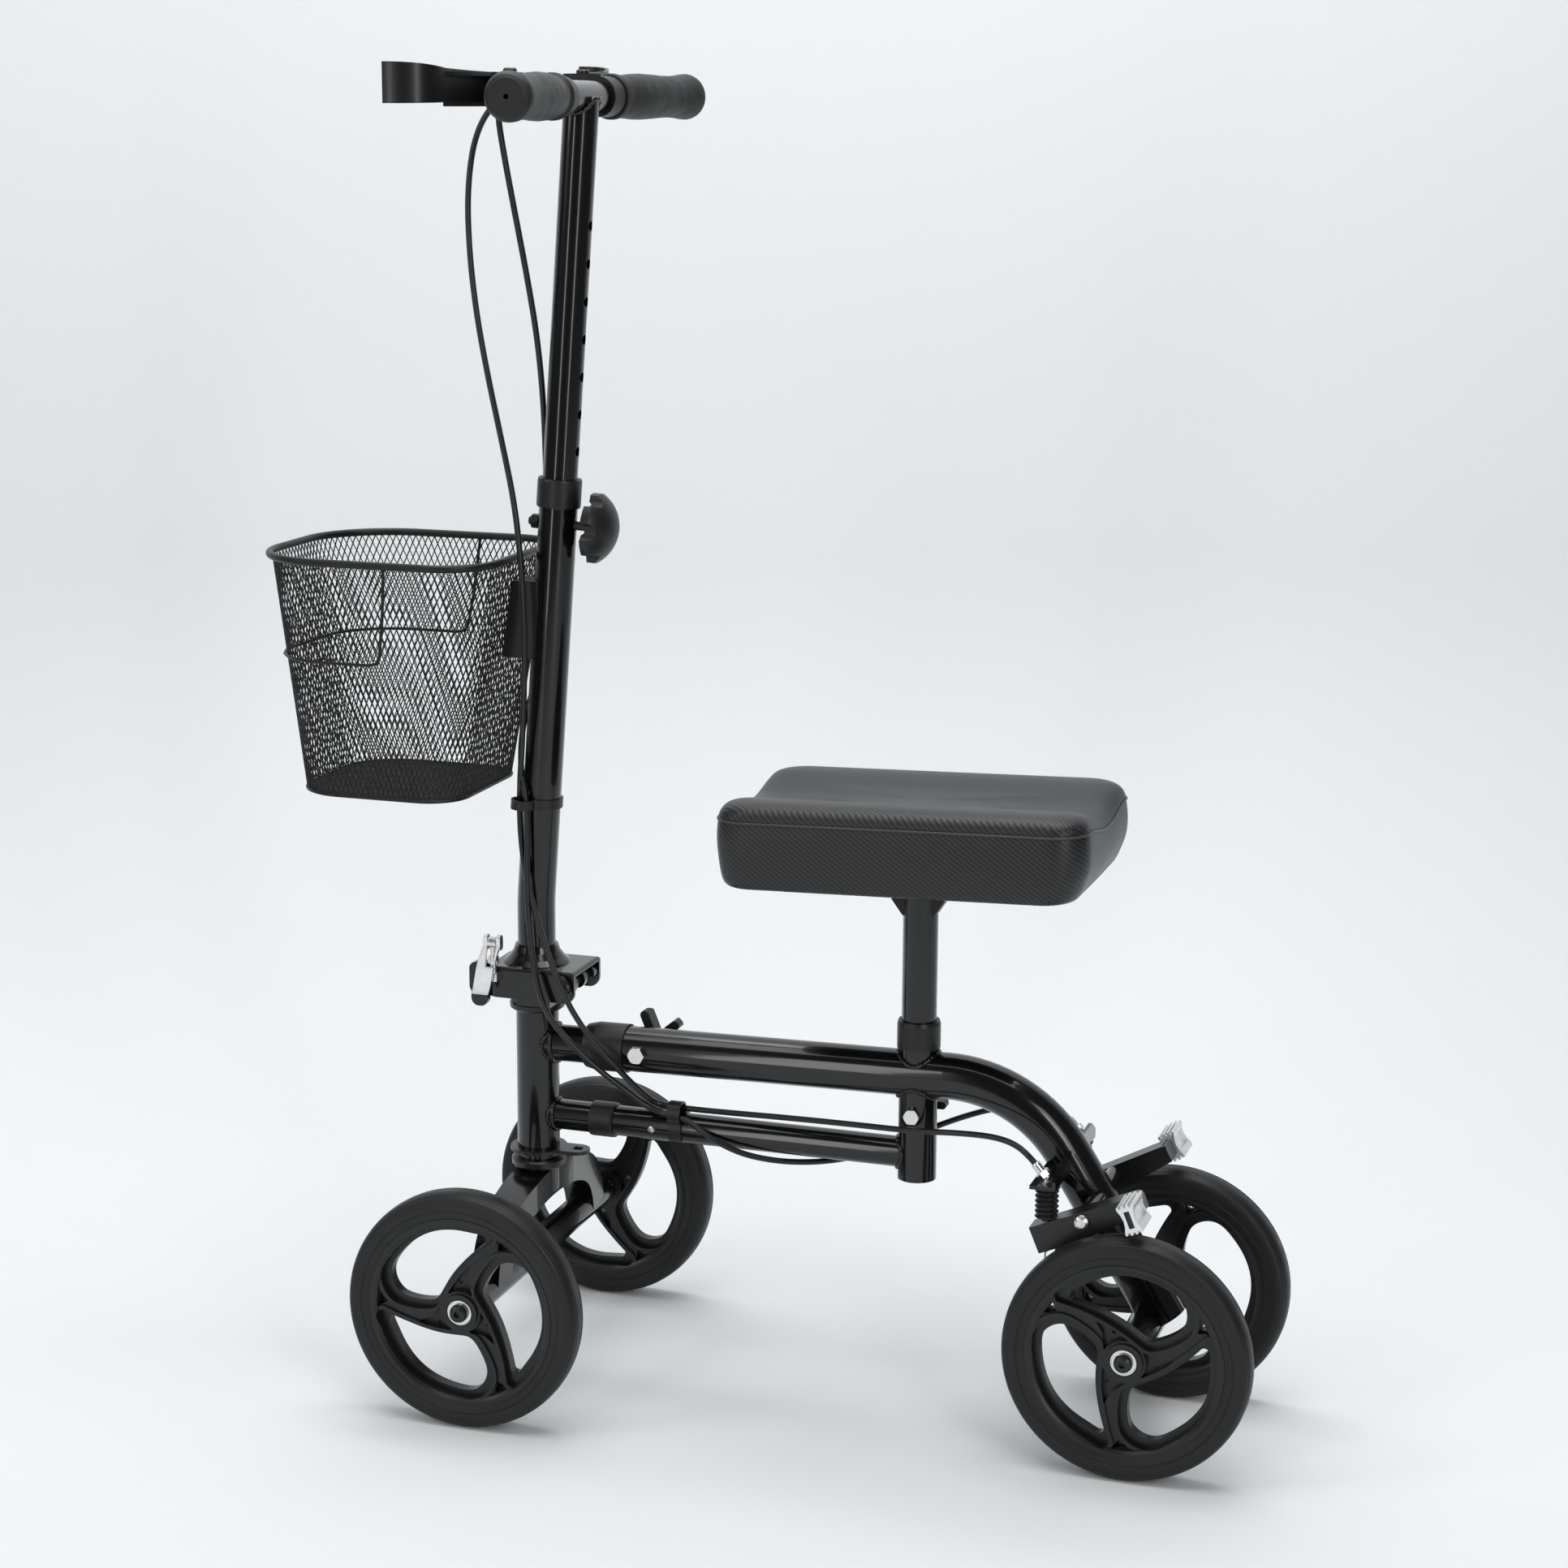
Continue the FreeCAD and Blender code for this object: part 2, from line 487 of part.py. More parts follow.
crown = crown.cut(cyl((WHEELBASE, -150, WHEEL_R), (0, 1, 0), 12.7, 300)).removeSplitter()
crown = max(crown.Solids, key=lambda s: s.Volume)
put("fork_crown", crown)

faxle = tube((WHEELBASE, -140, WHEEL_R), (0, 1, 0), 12.7, 11.0, 280)
for k in (-1, 1):
    plug = cyl((WHEELBASE, k * 128, WHEEL_R), (0, k, 0), 11.0, 12).fuse(cyl((WHEELBASE, k * 139.9, WHEEL_R), (0, k, 0), 8.0, 6.3))
    faxle = faxle.fuse(plug)
faxle = faxle.cut(cyl((WHEELBASE, -150, WHEEL_R), (0, 1, 0), 6.05, 300)).removeSplitter()
put("front_axle", faxle)
put("steerer", tube((WHEELBASE, 0, 151), (0, 0, 1), STEERER_R, 10.9, 167.4))

# fold joint: block on the steerer, housing over it on the column
bx0, bx1 = PIVOT[0], 560.0
block = box(bx0, bx1, -26.5, 26.5, 318.4, 346.5).fuse(cyl((PIVOT[0], -26.5, PIVOT[1]), (0, 1, 0), 7.5, 53))
block = block.cut(box(470, 510, -30, 30, 300, PIVOT[1] - 0.01).cut(cyl((PIVOT[0], -30, PIVOT[1]), (0, 1, 0), 7.5, 60)))
block = block.makeFillet(8.0, [e for e in block.Edges if e.BoundBox.ZLength > 20 and e.BoundBox.XMin > 555])
block = block.cut(box(540, 561, -30, 30, 310, 324))
block = block.cut(cyl((PIVOT[0], -40, PIVOT[1]), (0, 1, 0), 4.0 + GAP, 80))
block = block.cut(box(480, 530, -18, -3, 330, 350)).cut(box(480, 530, 3, 18, 330, 350)).removeSplitter()
put("fold_block", max(block.Solids, key=lambda s: s.Volume))

hx0, hx1 = 486.5, 567.0
shell = box(hx0, hx1, -30.2, 30.2, 325, 351.5)
vert = [e for e in shell.Edges if e.BoundBox.ZLength > 20 and e.BoundBox.XMin > 500]
shell = shell.makeFillet(12.0, vert)
shell = shell.makeFillet(3.0, [e for e in shell.Edges if e.BoundBox.ZMin > 351.4])
inner = box(hx0 - 5, hx1 - 3.2, -27.0, 27.0, 320, 348.0)
inner = inner.makeFillet(9.0, [e for e in inner.Edges if e.BoundBox.ZLength > 20 and e.BoundBox.XMin > 500])
shell = shell.cut(inner)
# rounded lower rear corners beside the pin
for k in (-1, 1):
    corner = box(hx0 - 1, hx0 + 9, min(k * 26, k * 32), max(k * 26, k * 32), 324, 334).cut(cyl((hx0 + 9, -40, 334), (0, 1, 0), 9.0, 80))
    shell = shell.cut(corner)
cone = turned([(0, 0), (29.5, 0), (28.0, 2.5), (23.6, 6.5), (19.8, 11.5), (18.2, 16.5), (0, 16.5)], (WHEELBASE, 0, 350.0), (0, 0, 1))
shell = shell.fuse(cone).cut(cyl((WHEELBASE, 0, 351.5), (0, 0, 1), COLUMN_R, 40)).cut(box(480, 567, -27, 27, 330, 348))
shell = shell.cut(cyl((PIVOT[0], -40, PIVOT[1]), (0, 1, 0), 4.0, 80))
tab = box(565.5, 581.0, 20.0, 30.2, 327, 354)
tab = tab.makeFillet(6.0, [e for e in tab.Edges if e.BoundBox.YLength > 8 and e.BoundBox.XMin > 570])
tongue = box(564.5, 579.5, 24.0, 30.0, 316.0, 336)
tongue = tongue.makeFillet(6.5, [e for e in tongue.Edges if e.BoundBox.YLength > 5 and e.BoundBox.ZMax < 320])
shell = shell.fuse(tab).fuse(tongue).removeSplitter()
put("fold_housing", max(shell.Solids, key=lambda s: s.Volume))

# ---------------------------------------------------------------- column
top = column_pt(742.0)
col_wire, _ = path_wire([(WHEELBASE, 0, 351.5), (WHEELBASE, 0, FOLD_BEND_Z), (top.x, 0, top.z)], 230.0)
column_solid = pipe(col_wire, COLUMN_R)
column = column_solid.cut(pipe(col_wire, COLUMN_RI))
kz = 723.0                                    # height knob's axis
kp = column_pt(kz)
back = V(-math.cos(LEAN), 0, -math.sin(LEAN))  # rearwards, square to the column
column = column.cut(Part.makeCylinder(4.2, 40, kp - back * 20, back))
put("column_tube", column)

ccol = turned([(COLUMN_R + 0.02, -5), (COLUMN_R + 1.9, -5), (COLUMN_R + 2.3, -3.5), (COLUMN_R + 2.3, 16.5), (COLUMN_R + 1.7, 18.4), (STEM_R + 0.08, 18.4), (STEM_R + 0.08, 0.05), (COLUMN_R + 0.02, 0.05)],
              tuple(top), tuple(UP), (math.cos(LEAN), 0, math.sin(LEAN)))
put("column_collar", ccol)

BAND_Z = 490.0
band_c = column_pt(BAND_Z)
A_BAND = (540.0, 14.5, BAND_Z)
B_BAND = (532.0, 19.8, BAND_Z)
band = strap((band_c.x, 0, BAND_Z), tuple(UP), COLUMN_R + 0.02, (536.0, 17.1, BAND_Z), 8.3, 1.8, 8.0, None)
put("cable_band", band)

hwc = []
hwc.append(cyl((PIVOT[0], -33.0, PIVOT[1]), (0, 1, 0), 4.0, 66.0).fuse(turned([(0, 0), (6.0, 0), (5.4, 1.8), (3.4, 3.2), (0, 3.8)], (PIVOT[0], 30.2, PIVOT[1]), (0, 1, 0))).fuse(turned([(0, 0), (6.0, 0), (5.4, 1.8), (3.4, 3.2), (0, 3.8)], (PIVOT[0], -30.2, PIVOT[1]), (0, -1, 0))))
# clamp rod, its nut and the eye that the lever turns on
rod = cyl((557.0, 34.6, 346.0), (0, 0, 1), 2.6, 24.0).fuse(box(553.0, 561.0, 30.2, 37.6, 340.5, 347.5))
rod = rod.fuse(hex_head((557.0, 34.6, 356.0), (0, 0, 1), 8.0, 6.0)).fuse(cyl((553.2, 34.6, 374.0), (1, 0, 0), 4.4, 7.6)).cut(cyl((540, 34.6, 374.0), (1, 0, 0), 2.0 + GAP, 60))
put("clamp_rod", rod.removeSplitter())
nutp = kp - back * (COLUMN_R - 0.1)
hwc.append(hex_head(tuple(nutp), tuple(back * -1), 11.0, 6.0).fuse(Part.makeCylinder(3.4, 8.6, nutp, back * -1)).cut(column_solid))
put("column_hardware", group(hwc))

# over-centre lever, its fork round the eye at the top
lev = box(549.5, 564.7, 31.2, 38.0, 367.5, 380.5)
lev = lev.makeFillet(3.3, [e for e in lev.Edges if e.BoundBox.XLength > 10])
lev = lev.cut(box(552.9, 561.1, 20, 45, 360, 390)).fuse(cyl((549.5, 34.6, 374.0), (1, 0, 0), 2.0, 15.2))
curve = [(38.4, 371), (41.6, 362), (43.0, 352), (42.0, 342), (41.6, 335), (43.4, 330)]
c = Part.BSplineCurve()
c.interpolate([V(549.5, y, z) for y, z in curve])
c2 = Part.BSplineCurve()
c2.interpolate([V(549.5, y - 3.2, z) for y, z in reversed(curve)])
shift = Part.Face(Part.makePolygon([V(549.5, 30, 372), V(564.7, 30, 372), V(574.5, 30, 328), V(559.5, 30, 328), V(549.5, 30, 372)])).extrude(V(0, 16, 0))
wide = Part.Face(Part.Wire([c.toShape(), Part.LineSegment(V(549.5, 43.4, 330), V(549.5, 40.2, 330)).toShape(), c2.toShape(), Part.LineSegment(V(549.5, 35.2, 371), V(549.5, 38.4, 371)).toShape()])).extrude(V(30, 0, 0)).common(shift)
wide = wide.cut(box(552.9, 561.1, 20, 45, 353.5, 390))
lev = lev.fuse(wide).removeSplitter()
put("fold_lever", max(lev.Solids, key=lambda s: s.Volume))

# ---------------------------------------------------------------- handlebar
stem_top = column_pt(BAR_Z)
STEM_Z0 = 652.0
sp = column_pt(STEM_Z0)
stem = Part.makeCylinder(STEM_R, (BAR_Z - STEM_Z0) / math.cos(LEAN), sp, UP).cut(Part.makeCylinder(STEM_RI, (BAR_Z - STEM_Z0) / math.cos(LEAN) + 5, sp - UP, UP))
bar_pts = [(BAR_X - (BAR_HALF - 40) * math.tan(math.radians(7.8)), BAR_HALF - 6, BAR_Z), (BAR_X, 40, BAR_Z), (BAR_X, -40, BAR_Z),
           (BAR_X - (BAR_HALF - 40) * math.tan(math.radians(7.8)), -(BAR_HALF - 6), BAR_Z)]
bar_pts = [(BAR_X - (BAR_HALF - 6 - 40) * math.tan(math.radians(7.8)) if abs(p[1]) > 50 else BAR_X, p[1], BAR_Z) for p in bar_pts]
bar_wire, _ = path_wire(bar_pts, 150.0)
bar_solid = pipe(bar_wire, BAR_R)
stem = stem.cut(bar_solid)
stem = max(stem.Solids, key=lambda s: s.Volume)
z = kz
for i in range(0, 9):
    q = kp + UP * (HOLE_PITCH * i)
    stem = stem.cut(Part.makeCylinder(4.0, 20, q, back))
put("stem_tube", stem)
weld = []
put("handlebar", bar_solid.cut(pipe(bar_wire, BAR_RI)))

A7 = math.radians(7.8)
gdir = V(-math.sin(A7), math.cos(A7), 0)
gp = V(BAR_X - (60 - 40) * math.tan(A7), 60, BAR_Z)
L = (BAR_HALF - 60) / math.cos(A7)
gprof = [(BAR_R, 0), (17.2, 0), (18.4, 1.2), (18.4, 5.5), (16.6, 7.5), (16.4, 12), (17.4, 22), (18.3, 36), (18.6, 50), (18.0, 70),
         (17.1, 90), (17.0, 104), (17.7, 116), (18.7, 126), (18.9, L - 5.5), (18.2, L - 2.5), (16.4, L + 0.6), (13.7, L + 2.4), (13.2, L + 2.6), (2.0, L + 2.6), (2.0, L - 5.8), (BAR_R, L - 5.8)]
grip = turned(gprof, tuple(gp), tuple(gdir), (0, 0, 1))
grip = grip.cut(bar_solid)
put("grips", group([grip, mirror_y(grip)]))

# lever brackets: clamp ring on the bar and an arm to the lever's pivot
LP = (515.0, 76.0)
ring_p = V(BAR_X, 40.6, BAR_Z)
ring = Part.makeCylinder(16.2, 17.5, V(BAR_X - 0.3, 41.0, BAR_Z), gdir)
arm_ = box(500, 521, 49, 60.5, 1056, 1083)
arm_ = arm_.fuse(Part.Face(Part.makePolygon([V(498, 49, 1060), V(514, 46, 1060), V(524, 62, 1060), V(524, 84, 1060), V(508, 84, 1060), V(507.6, 60, 1060), V(498, 58, 1060), V(498, 49, 1060)])).extrude(V(0, 0, 18)))
arm_ = arm_.cut(box(500, 540, 61.0, 100, 1050, 1100).cut(cyl((LP[0], LP[1], 1040), (0, 0, 1), 7.5, 60)).cut(box(500, 512.8, 61, 70, 1050, 1100)))
br = ring.fuse(arm_)
tip = cyl((LP[0], LP[1], 1060), (0, 0, 1), 7.5, 18)
web_ = box(LP[0] - 6, LP[0] + 6, 56, LP[1], 1060.5, 1077.5)
br = ring.fuse(box(492, 520, 45.5, 58.0, 1057, 1082)).fuse(web_).fuse(tip)
br = br.cut(bar_solid).cut(cyl((LP[0], LP[1], 1030), (0, 0, 1), 3.0 + GAP, 80))
br = br.fuse(turned([(0, 0), (4.2, 0), (4.6, 1.5), (4.6, 8), (3.8, 12), (0, 12)], (518.5, 48.5, 1069.5), (0.82, -0.57, 0), (0, 0, 1)))
grip_solid = turned([(0, -1), (18.8, -1), (18.8, L + 3), (0, L + 3)], tuple(gp), tuple(gdir), (0, 0, 1))
br = br.cut(grip_solid).removeSplitter()
br = max(br.Solids, key=lambda s: s.Volume)
put("lever_brackets", group([br, mirror_y(br)]))

# brake levers: channel section blade with a tip that flares forward
def lever():
    zt, zb = 1086.0, 1052.0
    # centre line of the blade's web, outer face
    pts = [(523.0, 66.0), (526.5, 90.0), (528.5, 120.0), (529.8, 150.0), (531.5, 172.0), (537.5, 186.0), (549.0, 194.0), (566.0, 197.0)]
    c = Part.BSplineCurve()
    c.interpolate([V(x, y, 0) for x, y in pts])
    n = 16
    a, b = c.FirstParameter, c.LastParameter
    outer, inner_ = [], []
    for i in range(n + 1):
        t = a + (b - a) * i / n
        p, d = c.value(t), c.tangent(t)[0]
        nrm = V(d.y, -d.x, 0)
        outer.append(p + nrm * 1.4)
        inner_.append(p - nrm * 1.4)
    co, ci = Part.BSplineCurve(), Part.BSplineCurve()
    co.interpolate(outer)
    ci.interpolate(list(reversed(inner_)))
    blade = Part.Face(Part.Wire([co.toShape(), Part.LineSegment(outer[-1], inner_[-1]).toShape(), ci.toShape(), Part.LineSegment(inner_[0], outer[0]).toShape()])).extrude(V(0, 0, 60))
    blade.translate(V(0, 0, 1040))
    # side outline: pivot end 24 high, tip 31 high
    so = [V(500, 60, 1081.5), V(500, 120, 1083), V(500, 165, 1084.5), V(500, 202, 1089.5), V(500, 202, 1058.5), V(500, 165, 1059.5), V(500, 120, 1058.5), V(500, 60, 1057.0)]
    outline = Part.Face(Part.makePolygon(so + [so[0]])).extrude(V(90, 0, 0))
    blade = blade.common(outline)
    topf = [(507, 70), (523.5, 62), (527.5, 90), (529.5, 120), (530.8, 150), (530.5, 168), (524, 160), (519.5, 140), (515.5, 110), (507, 84)]
    fl = []
    for z0, z1 in ((1079.0, 1082.2), (1056.4, 1059.6)):
        fl.append(Part.Face(Part.makePolygon([V(x, y, z0) for x, y in topf] + [V(topf[0][0], topf[0][1], z0)])).extrude(V(0, 0, z1 - z0)))
    s = blade.fuse(fl[0]).fuse(fl[1])
    pin = cyl((LP[0], LP[1], 1056.4), (0, 0, 1), 3.0, 25.8)
    cap = turned([(0, 0), (5.4, 0), (5.4, 2.2), (4.2, 3.4), (0, 3.4)], (LP[0], LP[1], 1082.2), (0, 0, 1))
    s = s.fuse(pin).fuse(cap).removeSplitter()
    return max(s.Solids, key=lambda q: q.Volume)


lv = lever()
put("brake_lever_left", lv)
put("brake_lever_right", mirror_y(lv))

# height knob: six-lobed dome on a stud square to the column
def star_knob(r, n, h):
    core = cyl((0, 0, 0), (0, 0, 1), r, h)
    for i in range(n):
        a = math.radians(360.0 / n * (i + 0.5))
        core = core.cut(cyl((math.cos(a) * (r + 3.2), math.sin(a) * (r + 3.2), -1), (0, 0, 1), 8.4, h + 2))
    dome = Part.makeSphere(34.0, V(0, 0, h - 34.0))
    core = core.common(dome)
    hollow_ = turned([(7, -1), (r - 4.0, -1), (r - 7.5, h * 0.45), (10, h * 0.45), (7, h * 0.4)], (0, 0, 0), (0, 0, 1))
    ribs_ = []
    core = core.cut(hollow_)
    for i in range(n):
        w = box(5, r - 5.0, -1.2, 1.2, 0.5, h * 0.5)
        w.rotate(V(0, 0, 0), V(0, 0, 1), 360.0 / n * i)
        core = core.fuse(w)
    return core.removeSplitter()


sk = star_knob(28.5, 6, 22.0)
stud_len = 17.6
base = kp + back * (COLUMN_R + 14.0)
sk.Placement = Placement(base, Rotation(V(0, 0, 1), back)).multiply(sk.Placement)
stud = Part.makeCylinder(3.6, 16.4, kp + back * (STEM_R + 0.35), back)
knob = sk.fuse(stud).fuse(Part.makeCylinder(6.8, 6.0, base - back * 2.0, back)).removeSplitter()
put("height_knob", max(knob.Solids, key=lambda s: s.Volume))

# ---------------------------------------------------------------- basket
def rrect(x0, x1, hy, r0, r1, z, bulge=0.0):
    """Rounded rectangle wire at height z; r0 rear corners, r1 front corners."""
    k = math.sqrt(0.5)
    def arc(cx, cy, r, a0, a1):
        p = [V(cx + r * math.cos(math.radians(a)), cy + r * math.sin(math.radians(a)), z) for a in (a0, (a0 + a1) / 2.0, a1)]
        return Part.Arc(*p).toShape(), p[0], p[2]
    a1, s1, t1 = arc(x1 - r1, hy - r1, r1, 0, 90)
    a2, s2, t2 = arc(x0 + r0, hy - r0, r0, 90, 180)
    a3, s3, t3 = arc(x0 + r0, -hy + r0, r0, 180, 270)
    a4, s4, t4 = arc(x1 - r1, -hy + r1, r1, 270, 360)
    front = Part.Arc(t4, V(x1 + bulge, 0, z), s1).toShape() if bulge else Part.LineSegment(t4, s1).toShape()
    return Part.Wire([a1, Part.LineSegment(t1, s2).toShape(), a2, Part.LineSegment(t2, s3).toShape(), a3, Part.LineSegment(t3, s4).toShape(), a4, front])


RIM_Z, FLOOR_Z = 692.0, 497.0
def basket_loft(t, z0, z1):
    """Solid between two heights, walls moved inwards by t."""
    def section(z):
        f = (z - FLOOR_Z) / (RIM_Z - FLOOR_Z)
        return rrect(573 + (542.6 - 573) * f + t, 722 + (747.0 - 722) * f - t, 76 + 20.5 * f - t, 34 + 6 * f - t, 45 + 23 * f - t, z, 0.0)
    return Part.makeLoft([section(z0), section(z1)], True, True)


outer_b = basket_loft(0.0, FLOOR_Z, RIM_Z)
inner_b = basket_loft(2.4, FLOOR_Z + 2.4, RIM_Z + 6)
put("basket_shell", outer_b.cut(inner_b))
path = rrect(542.2, 748.8, 97.6, 42, 70, RIM_Z + 3.2, 0.0)
ordered = Part.Wire(Part.__sortEdges__(path.Edges))
first = ordered.Edges[0]
pr = Part.Wire([Part.Circle(first.valueAt(first.FirstParameter), first.tangentAt(first.FirstParameter), 3.2).toShape()])
rim_t = ordered.makePipeShell([pr], True, True)
put("basket_rim", rim_t)
bracket = box(522, 562, -14, 14, 612, 676).cut(Part.makeCylinder(COLUMN_R + 0.02, 120, column_pt(590), UP))
wall = [(600, 573 + (542.6 - 573) * (600 - FLOOR_Z) / (RIM_Z - FLOOR_Z)), (690, 573 + (542.6 - 573) * (690 - FLOOR_Z) / (RIM_Z - FLOOR_Z))]
slant = Part.Face(Part.makePolygon([V(480, -30, wall[0][0]), V(wall[0][1] - 0.35, -30, wall[0][0]), V(wall[1][1] - 0.35, -30, wall[1][0]), V(480, -30, wall[1][0]), V(480, -30, wall[0][0])])).extrude(V(0, 60, 0))
bracket = bracket.common(slant)
bracket = max(bracket.Solids, key=lambda s: s.Volume)
try:
    rounded = bracket.makeFillet(3.5, [e for e in bracket.Edges if e.BoundBox.XLength > 12 and abs(abs(e.BoundBox.YMin) - 14) < 0.1 and abs(abs(e.BoundBox.YMax) - 14) < 0.1])
    bracket = rounded if rounded.isValid() else bracket
except Exception as err:
    print("bracket edges left square:", err)
put("basket_bracket", max(bracket.Solids, key=lambda s: s.Volume))

# ---------------------------------------------------------------- seat
post_bot, post_top = 212.0, 446.0
post = tube((197, 0, post_bot), (0, 0, 1), POST_R, POST_RI, post_top - post_bot)
for i in range(4):
    post = post.cut(cyl((197, 0, 345 + 22 * i), (0, -1, 0), 3.4, 20))
put("seat_post", post)
PX0, PX1, PY = 42.0, 345.0, 92.0
plate = box(86, 306, -58, 58, 447.6, PAD_Z - 0.3)
plate = plate.makeFillet(14.0, [e_ for e_ in plate.Edges if e_.BoundBox.ZLength > 5])
cheek = Part.Face(Part.makePolygon([V(175, -9, 434), V(219, -9, 434), V(219, -9, 448), V(175, -9, 448), V(175, -9, 434)])).extrude(V(0, 18, 0))
foot = Part.Face(Part.makePolygon([V(184, -9, 421), V(210, -9, 421), V(219, -9, 434), V(175, -9, 434), V(184, -9, 421)])).extrude(V(0, 18, 0))
pb = plate.fuse(cheek).fuse(foot).removeSplitter()
pb.rotate(V(197, 0, 424.2), V(0, 1, 0), PAD_TILT)
pb = pb.cut(cyl((197, 0, 400), (0, 0, 1), POST_R, post_top - 400.0)).removeSplitter()
put("pad_base", max(pb.Solids, key=lambda s: s.Volume))


def pad():
    zb = PAD_Z
    prof = [(-84, zb), (84, zb), (91, zb + 7), (92.5, zb + 26), (91.5, zb + 46), (86, zb + 61), (74, zb + 70.0), (58, zb + 70.5), (36, zb + 65.0),
            (14, zb + 60.5), (-14, zb + 60.5), (-36, zb + 65.0), (-58, zb + 70.5), (-74, zb + 70.0), (-86, zb + 61), (-91.5, zb + 46), (-92.5, zb + 26), (-91, zb + 7)]
    pts = [V(PX0, y, z) for y, z in prof]
    s = Part.Face(Part.makePolygon(pts + [pts[0]])).extrude(V(PX1 - PX0, 0, 0))
    clipx = Part.makeLoft([Part.makePolygon([V(x0_, -99, z), V(x1_, -99, z), V(x1_, 99, z), V(x0_, 99, z), V(x0_, -99, z)])
                           for x0_, x1_, z in ((PX0 + 9, PX1 - 4, zb - 1), (PX0 + 2, PX1, zb + 24), (PX0, PX1, zb + 50), (PX0 + 8, PX1 - 8, zb + 73))], True, True)
    s = s.common(clipx)
    s = s.cut(box(-200, 600, -200, 200, zb - 20, zb))
    s.rotate(V(197, 0, 424.2), V(0, 1, 0), PAD_TILT)
    return s


put("pad_cushion", pad())

# ---------------------------------------------------------------- rear brake arms and shoes
aP = V(ARM_PIVOT[0], 0, ARM_PIVOT[1])
aS = V(-math.cos(ARM_SLOPE), 0, math.sin(ARM_SLOPE))     # along the arm, rearwards
aN = V(-math.sin(ARM_SLOPE), 0, -math.cos(ARM_SLOPE))    # square to it, downwards


def sn(s, n, y):
    q = aP + aS * s + aN * n
    return V(q.x, y, q.z)


def arm_plate(pts, y0, y1):
    q = [sn(s, n, y0) for s, n in pts]
    return Part.Face(Part.makePolygon(q + [q[0]])).extrude(V(0, y1 - y0, 0))


def brake_arm():
    side_pts = [(-43.5, -7.4), (47.0, -7.4), (50.0, -4.0), (50.0, 7.0), (36, 9.0), (8, 12.5), (-12, 14.9), (-43.5, 14.9)]
    solid = arm_plate(side_pts, ARM_Y0, ARM_Y1)
    hollow_ = arm_plate([(-60, -4.4), (44, -4.4), (44, 30), (-60, 30)], ARM_Y0 + 2.6, ARM_Y1 - 2.6)
    s = solid.cut(hollow_)
    s = s.fuse(arm_plate([(45.9, -6.6), (50.0, -6.6), (50.0, 7.0), (45.9, 7.0)], ARM_Y0 + 1, 101.0))
    s = s.cut(cyl((ARM_PIVOT[0], 0, ARM_PIVOT[1]), (0, 1, 0), 4.0 + GAP, 120))
    s = s.cut(cyl((73.9, 59, 160), (0, 0, 1), 3.4, 60).common(arm_plate([(-60, -12), (0, -12), (0, 0), (-60, 0)], 40, 80)))
    return s.removeSplitter()


def brake_shoe():
    right = [(7.0, -9.5), (5.4, -5.0), (4.6, 0.0), (5.4, 5.0), (7.0, 9.5)]
    fins_b, fins_t = [], []
    xs = [7.0, 5.2, 5.2, 3.0, 3.0, 1.1, 1.1, -1.1, -1.1, -3.0, -3.0, -5.2, -5.2, -7.0]
    hs = [11.6, 11.6, 9.9, 9.9, 12.2, 12.2, 10.2, 10.2, 12.2, 12.2, 9.9, 9.9, 11.6, 11.6]
    pts = right + list(zip(xs, hs)) + [(-s, -n) for s, n in right] + [(-a, -b) for a, b in zip(xs, hs)]
    q = [(48.0 + s, 0.2 + n) for s, n in pts]
    body = arm_plate(q, ARM_Y1 + 0.2, 103.0)
    slot = arm_plate([(45.7, -6.8), (50.2, -6.8), (50.2, 7.2), (45.7, 7.2)], 60, 110)
    pocket = arm_plate([(51.6, -6.0), (60, -6.0), (60, 6.0), (51.6, 6.0)], 71.0, 99.0)
    s = body.cut(slot).cut(pocket)
    wire_ = cyl((73.9, 59, 162.5), (0, 0, 1), 1.0, 40.0).common(arm_plate([(-60, -6.0), (0, -6.0), (0, 60), (-60, 60)], 40, 80))
    nut_ = hex_head((73.9, 59, 176.0), (0, 0, 1), 7.0, 5.0).fuse(cyl((73.9, 59, 169.0), (0, 0, 1), 2.2, 8.0))
    return [s, wire_.fuse(nut_).removeSplitter()]


arm = brake_arm()
shoe = brake_shoe()


def open_right(s):
    s = mirror_y(s)
    s.rotate(V(ARM_PIVOT[0], 0, ARM_PIVOT[1]), V(0, 1, 0), RIGHT_ARM_OPEN)
    return s


put("brake_arm_left", arm)
put("brake_arm_right", open_right(arm))
put("brake_shoe_left", group(shoe))
put("brake_shoe_right", group([open_right(s) for s in shoe]))

for name, k, zb in (("bellows_left", 1, 197.6), ("bellows_right", -1, 194.6)):
    s = turned([(4.0, 0), (8.4, 0), (8.8, 1.5), (8.8, 223.6 - zb - 2.2), (11.0, 223.6 - zb - 2.0), (11.0, 223.6 - zb), (4.0, 223.6 - zb)], (73.5, k * 59, zb), (0, 0, 1))
    keep = arm if k > 0 else open_right(arm)
    lifted = keep.copy()
    lifted.translate(V(0, 0, 0.35))
    s = s.cut(keep).cut(lifted)
    put(name, max(s.Solids, key=lambda q: q.Volume))

# ---------------------------------------------------------------- brake cables
SPLIT_GAP = 0.4            # between a cable's solids where they change body


def onward(route, length):
    """First two points of the next solid of a cable, straight on from the last."""
    a, b = V(*route[-2]), V(*route[-1])
    d = b - a
    d.normalize()
    p, q = b + d * SPLIT_GAP, b + d * (SPLIT_GAP + length)
    return [(p.x, p.y, p.z), (q.x, q.y, q.z)]


